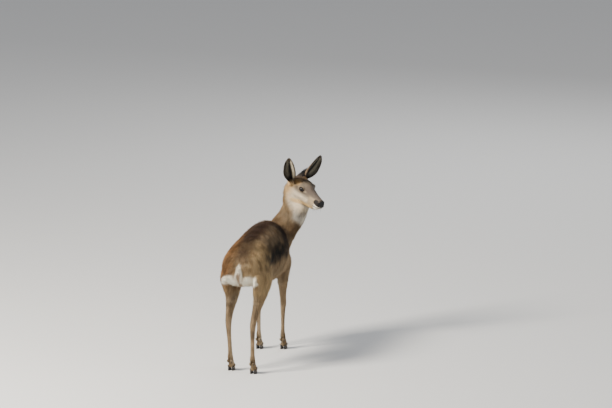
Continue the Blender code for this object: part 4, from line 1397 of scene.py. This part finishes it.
print("hair grows on", hair_here.sum(), "of", len(middles), "triangles")

# %% Grow the coat, region by region
LEG_INSET = 0.067


def coat_chart(roots, region, side):
    """The skin round each root unrolled about the region's own middle line."""
    if region == "head":
        return head_chart(roots)
    if region == "neck":
        row = np.abs(roots[:, 2, None] - NECK_ROWS[None, :, 2]).argmin(1)
        return unrolled_about(roots, NECK_ROWS[row, :3], 2, 0.4, 0.95)
    if "leg" in region:
        slices, sign, step = LEGS[region + side]
        line = leg_line(slices, step, roots[:, 2])
        return unrolled_about(roots, columns(sign * LEG_INSET, line, 0), 2, 0, 0.42)
    return unrolled_about(roots, np.array((0, 0, 0.55)), 1, -0.45, 0.45)


seed = 100
for layer, region, count, form, slim, lift, bend in PIECES:
    for side in ("_right", "_left") if "trunk" in region or "leg" in region else ("",):
        chosen = (kind == region) & hair_here
        if side:
            chosen &= (middles[:, 0] > 0) == (side == "_right")
        thickly = hair_length(middles[chosen]) ** -1.2
        roots, normals, rng = roots_on(hide["triangles"][chosen], thickly, int(count * EASY), seed)
        length = hair_length(roots)
        coat = tufts(f"{layer}_{region}{side}", roots, normals, lie_of(roots, normals), length,
                     length * slim * WIDER, tones_at(markings(roots), rng), coat_chart(roots, region, side),
                     rng, lift, bend, form)
        seed += 1

# %% [markdown]
# ### Coat of the ears
#
# Hair on the back of the ear is short and lies towards the tip. Inside, long pale hairs grow from the
# edges across the hollow, and a dark fringe follows the rim. Their roots are placed on the leaf by its
# own two measures, along and across, so the hair follows every turn of the ear.

# %% Hair of the ears
# On the back, on the rim and inside: how many hairs, length, width and lift
EAR_HAIRS = np.array(((7500, 0.0075, 0.0011, 0.22), (3000, 0.008, 0.0009, 0.18),
                      (8000, 0.015, 0.0008, 0.42)))


def ear_roots(name, along, across, outer):
    """Roots, outward normals, direction to the tip and direction across, on the ear's back or inside."""
    lift = np.where(outer, 0.5, -0.5) * EAR_SKIN
    leaf, out = ear_leaf(along, across, lift)
    place = from_ear(leaf, name)
    further = from_ear(ear_leaf(along + 0.02, across, lift)[0], name)
    beside = from_ear(ear_leaf(along, across + 0.02, lift)[0], name)
    normals = np.where(outer[:, None], out, -out) @ (ear_turn(name).T @ HEAD_AXES)
    return place, unit(normals), unit(further - place), unit(beside - place)


for number, name in enumerate(EARS):
    rng = np.random.default_rng(300 + number)
    counts = (EAR_HAIRS[:, 0] * EASY).astype(int)
    total = counts.sum()
    group = np.repeat((0, 1, 2), counts)
    on_back, on_rim, inside = group == 0, group == 1, group == 2
    along = np.sqrt(rng.random(total)) * 0.88 + 0.1
    along = np.where(on_rim, rng.random(total) * 0.9 + 0.09, along)
    along = np.where(inside, rng.random(total) * 0.72 + 0.12, along)
    across = rng.uniform(-0.98, 0.98, total)
    edge = rng.choice((-1, 1), total)
    across = np.where(on_rim, edge * rng.uniform(0.93, 1, total), across)
    across = np.where(inside, edge * (0.94 - 0.9 * rng.random(total) ** 1.15), across)
    outer = on_back | (on_rim & (rng.random(total) < 0.5))
    roots, normals, lie, sidewards = ear_roots(name, along, across, outer)
    drift = -0.45 * edge * np.abs(across) * inside + 0.35 * edge * on_rim
    lie = unit(lie + sidewards * drift[:, None])
    length, width, lift = EAR_HAIRS[group, 1:].T
    length = length * (1 - 0.25 * along)
    length = np.where(on_back & (along < 0.3), length * 1.4, length)
    colour = ear_colours(along, across, outer) * np.where(inside, 1.12, 1)[:, None]
    chart = columns(0.25 + 0.23 * across + 0.5 * outer, 0.02 + 0.95 * along)
    coat = tufts(f"coat_ear_{name}", roots, normals, lie, length, width * WIDER, tones_at(colour, rng),
                 chart, rng, lift, 0.0, SPIKE)

# %% Tufts between the ears, darkened towards the far ear as painted shade
CROWN_HAIRS = 3000
CROWN_REACH = 0.044
CROWN_WIDTH = 0.0012
crown = (kind == "head") & (q[:, 2] > 0.15) & (q[:, 0] < 0.17) & (np.abs(q[:, 1]) < 0.15)
triangles = hide["triangles"][crown]
roots, normals, rng = roots_on(triangles, np.ones(len(triangles)), int(CROWN_HAIRS * EASY), 91)
place = to_head(roots) / HEAD_LENGTH
beside = ramp(place[:, 1], -0.14, 0.12) * ramp(place[:, 0], -0.02, 0.07) * 0.8
lie = columns(-0.5, 0.95 * beside, 0.9 * beside) @ HEAD_AXES
lie = unit(lie - normals * (lie * normals).sum(1, keepdims=True) * (1 - beside)[:, None])
# towards the far ear the tufts turn near-black, as painted shade of that ear's base
tone = mix(markings(roots), CROWN_SHADE_DARK, np.clip(1.6 * beside, 0, 1))
coat = tufts("coat_crown_shade", roots, normals, lie, 0.008 + CROWN_REACH * beside, CROWN_WIDTH * WIDER,
             tones_at(tone, rng), head_chart(roots), rng, 0.2, 0.06)

# %% [markdown]
# ### Lashes and whiskers
#
# Stiff dark lashes line the upper lids, and long thin whiskers stand on the lips and the chin. They
# are blades too, only far narrower, and share one piece.

# %% Lashes and whiskers
LASHES = 40
WHISKERS = 70


def lash_roots(side, rng):
    """Places along the upper lid's edge, with directions that fan outwards."""
    across = np.linspace(-0.84, 0.66, LASHES) + rng.normal(0, 0.01, LASHES)
    height = OPENING_UP * (1 - np.abs(across) ** 1.9) * 1.06
    across = across * OPENING_HALF_WIDTH
    direction = EYE_OUT * np.cos(across)[:, None] + EYE_FORWARD * np.sin(across)[:, None]
    direction = direction * np.cos(height)[:, None] + EYE_UP * np.sin(height)[:, None]
    place = (EYE_PLACE + direction * (EYE_RADIUS + LID_THICKNESS + 0.0006)) * (1, side, 1)
    out = unit(direction * 0.9 + EYE_OUT * 0.5 - EYE_UP * 0.45 - EYE_FORWARD * 0.25) * (1, side, 1)
    return from_head(place), unit(out @ HEAD_AXES), np.tile(EYE_UP * (1, side, 1) @ HEAD_AXES, (LASHES, 1))


rng = np.random.default_rng(77)
sets = [(*lash_roots(side, rng), np.full(LASHES, 0.0052), np.full(LASHES, 0.00042)) for side in (1, -1)]
nose_side = (kind == "head") & hair_here & (q[:, 0] > 0.8) & (q[:, 2] * HEAD_LENGTH < 0.01)
place, out, _ = roots_on(hide["triangles"][nose_side], np.ones(nose_side.sum()), WHISKERS, 78)
lie = unit(lie_of(place, out) * 0.55 + out * 0.85)
up = unit(np.cross(lie, np.cross(out, lie)))
sets.append((place, lie, up, rng.uniform(0.012, 0.026, WHISKERS), np.full(WHISKERS, 0.00028)))
roots, lie, up, length, width = (np.concatenate(rows) for rows in zip(*sets))
chart = columns(rng.random(len(roots)), rng.random(len(roots))) * 0.98 + 0.01
whiskers = tufts("lashes_and_whiskers", roots, unit(up), lie, length, width,
                 np.tile(LIP_BLACK, (len(roots), 1)), chart, rng, 0.18, 0.1)

# %% [markdown]
# ## Eyes
#
# A deer's eye is large, dark and wet, with a pupil like a lying bar. The ball is a sphere with the
# slight bulge of the cornea, coloured ring by ring round the eye's own axis. A clear shell over a
# hollow iris would be nearer to nature, but an eye this dark shows only its gloss.

# %% Eyeballs
PUPIL = (0.0056, 0.003)
IRIS = 0.0102
CORNEA_BULGE = 0.0007
IRIS_BROWN = paint(26, 18, 13)
EYE_WHITE = paint(40, 31, 28) * 0.5


def eyeball(side):
    """A sphere round the eye's axis: r = radius + bulge, and its colours."""
    polar = np.concatenate([np.linspace(0.02, 1.15, 60), np.linspace(1.2, 3.1, 24)])[:, None]
    turn = around(96)
    flat = EYE_FORWARD * np.cos(turn)[:, None] + EYE_UP * np.sin(turn)[:, None]
    direction = EYE_OUT * np.cos(polar)[..., None] + flat[None] * np.sin(polar)[..., None]
    radius = EYE_RADIUS + CORNEA_BULGE * ramp(np.cos(polar), 0.66, 0.92)
    rings = (EYE_PLACE + direction * radius[..., None]) * (1, side, 1)
    away = EYE_RADIUS * np.sin(polar)
    pupil = np.hypot(away * np.cos(turn) / PUPIL[0], away * np.sin(turn) / PUPIL[1])
    streak = 1 + 0.28 * np.sin(turn * 37 + 2 * np.sin(turn * 5)) * ramp(away, 0.003, 0.007)
    iris = IRIS_BROWN * streak[..., None]
    colour = iris + (EYE_WHITE - iris) * ramp(away + 0 * turn, IRIS * 0.86, IRIS)[..., None]
    colour = colour * (1 - 0.96 * ramp(pupil, 1.1, 0.9))[..., None]
    return rings, np.concatenate([colour.reshape(-1, 3), colour[0].mean(0)[None], colour[-1].mean(0)[None]])


for name, side in (("left", 1), ("right", -1)):
    rings, colours = eyeball(side)
    points, quads, triangles = closed_loft(rings)
    ball = mesh_piece(f"eyeball_{name}", (from_head(points) + SHIFT, quads, triangles))
    coloured(ball, colours, eye_look)
    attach(ball, "root")
    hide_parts(f"eye_{name}")
print("eyes:", len(points), "points each")

# %% [markdown]
# ## Hooves
#
# Each foot stands on two claws of black horn with a flat sole, and two small dew claws hang behind the
# fetlock. A claw is a stack of rings drawn in towards the top, with fine ridges round its wall, as
# horn grows in rings. A fringe of hair hides the line where the horn begins.

# %% Claws and dew claws
HOOF_LENGTH = 0.05
HOOF_HALF_WIDTH = 0.0185
HOOF_SPLIT = 0.0011
HOOF_AHEAD = 0.012
HOOF_TAPER = 0.29
CORONET_FRONT = 0.034
CORONET_HEEL = 0.022
DEWCLAW_HEIGHT = 0.055
DEWCLAW_RADII = np.array((0.0062, 0.0075, 0.0125))
DEWCLAW_LEAN = radians(38)
DEWCLAW_SPREAD = 0.0085
DEWCLAW_SET_BACK = 0.002
HORN_BLACK = paint(27, 24, 23)
HORN_BROWN = paint(58, 48, 40)
# fringes: low end, share of the cap, way down, tufts, length of the hair
CLAW_FRINGE = (0.92, 0.25, (0, 0, -1), 520, 0.0078)
DEWCLAW_FRINGE = (0.58, 0.0, (0, -1, -0.55), 300, 0.007)
ANKLE = (0, 0, 0.02)  # the horn's hair takes its colour from this much higher


def claw_rings(middle_x, toe_y, side):
    """Rings of a claw: along = ½ + ½ cos, width = sin · (1 - 0.62 along²), drawn in towards the top."""
    angle = around(48)
    lift = np.concatenate([(0.0, 0.015, 0.05), np.linspace(0.1, 1, 26)])[:, None]
    along = 0.5 + 0.5 * np.cos(angle)
    blunt = np.sin(angle) * (1 - 0.62 * along**2)
    ridge = 1 + 0.0025 * np.sin(lift * 38) * ramp(lift, 0.1, 0.3)
    top = np.sqrt(1 - np.clip((lift - 0.8) / 0.2, 0, 1) ** 2)
    edge = (1 - 0.035 * ramp(lift, 0.05, 0)) * (0.7 + 0.3 * top)
    length = HOOF_LENGTH * (1 - HOOF_TAPER * lift) * edge
    width = HOOF_HALF_WIDTH * (0.98 - 0.1 * lift) * edge
    y = toe_y - HOOF_LENGTH * (1 - 0.05 * lift) + HOOF_LENGTH * (1 - edge) / 2 + along * length * ridge
    middle = 0.5 + 0.04 * along
    swell = (blunt / 2 + 0.5 - middle) * width * ridge
    x = middle_x + side * (HOOF_SPLIT + HOOF_HALF_WIDTH * middle + swell)
    coronet = CORONET_HEEL + (CORONET_FRONT - CORONET_HEEL) * along
    return columns(x, y, lift * coronet)


def horn_piece(name, rings, node, haired):
    """A claw as an object of its own, paler where it grows, and skinned above a share of its height in the
    coat's colour darkened as painted shade.
    """
    shape = closed_loft(rings + SHIFT)
    made = mesh_piece(name, shape)
    height = shape[0][:, 2]
    share = (height - height.min()) / (height.max() - height.min())
    tone = mix(HORN_BLACK, HORN_BROWN, ramp(share, 0.55, 1))
    # the skin above the horn takes the coat's colour darkened to about a fifth, as painted shade under the
    # fringe
    tone = mix(tone, markings(shape[0] - SHIFT + ANKLE) * 0.22, ramp(share, haired - 0.03, haired + 0.03))
    coloured(made, tone * (1 + 0.16 * lumps(shape[0], 0.006, 31))[:, None], horn_look)
    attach(made, "root")
    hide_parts(node)


def fringe(rings, low, inwards, down, count, long):
    """Roots from a share of a horn's rows to a share of its cap, with normals, lie, bend and length."""
    rows, sides = rings.shape[:2]
    count = int(count * EASY)
    turn = fringe_rng.random(count) * sides
    start = np.floor(turn).astype(int)
    u = (turn - start)[:, None]
    row = low + (1 + inwards - low) * fringe_rng.random(count)
    level = np.minimum(row, 1) * (rows - 1)
    upper = np.maximum(np.ceil(level), 1).astype(int)
    below, above = (rings[at, start] * (1 - u) + rings[at, (start + 1) % sides] * u
                    for at in (upper - 1, upper))
    top = rings[-1].mean(0)
    place = below + (above - below) * (level - upper + 1)[:, None]
    place = place + (top - place) * np.clip(row - 1, 0, 1)[:, None] * 2.4
    outwards = unit(place - rings.mean((0, 1)))
    capped = ramp(row, 1 - inwards / 3, 1.01 + inwards / 3)[:, None] * (inwards > 0)
    out = unit(outwards * (1 - capped) + unit(top - rings[0].mean(0)) * capped)
    down = unit(np.array(down)) + unit(outwards * (1, 1, 0)) * capped * 0.7
    return place, out, flat_on(down, out), 0.55 * capped, np.full(count, long)


fringes = []
fringe_rng = np.random.default_rng(95)
for leg_name, (slices, side, step) in LEGS.items():
    foot = leg_name.replace("leg", "")
    pastern, coronet = slices[-3], slices[-2]
    toe = coronet[2] + lead(slices, step, coronet[0]) + HOOF_AHEAD
    heel = pastern[3] + lead(slices, step, pastern[0]) - DEWCLAW_SET_BACK
    for inner, word in ((-1, "inner"), (1, "outer")):
        rings = claw_rings(side * coronet[1], toe, side * inner)
        horn_piece(f"claw_{foot}_{word}", rings, f"hoof_{foot}_{word}", 0.97)
        fringes.append(fringe(rings, *CLAW_FRINGE))
        middle = np.array((side * (pastern[1] + inner * DEWCLAW_SPREAD), heel, DEWCLAW_HEIGHT))
        rings = ball_rings(middle, DEWCLAW_RADII, tilted(DEWCLAW_LEAN), point=0.42)
        horn_piece(f"dew_{foot}_{word}", rings, f"dewclaw_{foot}_{word}", 0.72)
        fringes.append(fringe(rings, *DEWCLAW_FRINGE))
roots, normals, lie, bend, length = (np.concatenate(rows) for rows in zip(*fringes))
coat = tufts("coat_fetlocks", roots, normals, lie, length, length * 0.13 * WIDER,
             tones_at(markings(roots + ANKLE) * 0.92, fringe_rng),
             unrolled_about(roots, np.zeros(3), 2, 0, 0.42), fringe_rng, 0.08, bend)
print("sixteen pieces of horn")
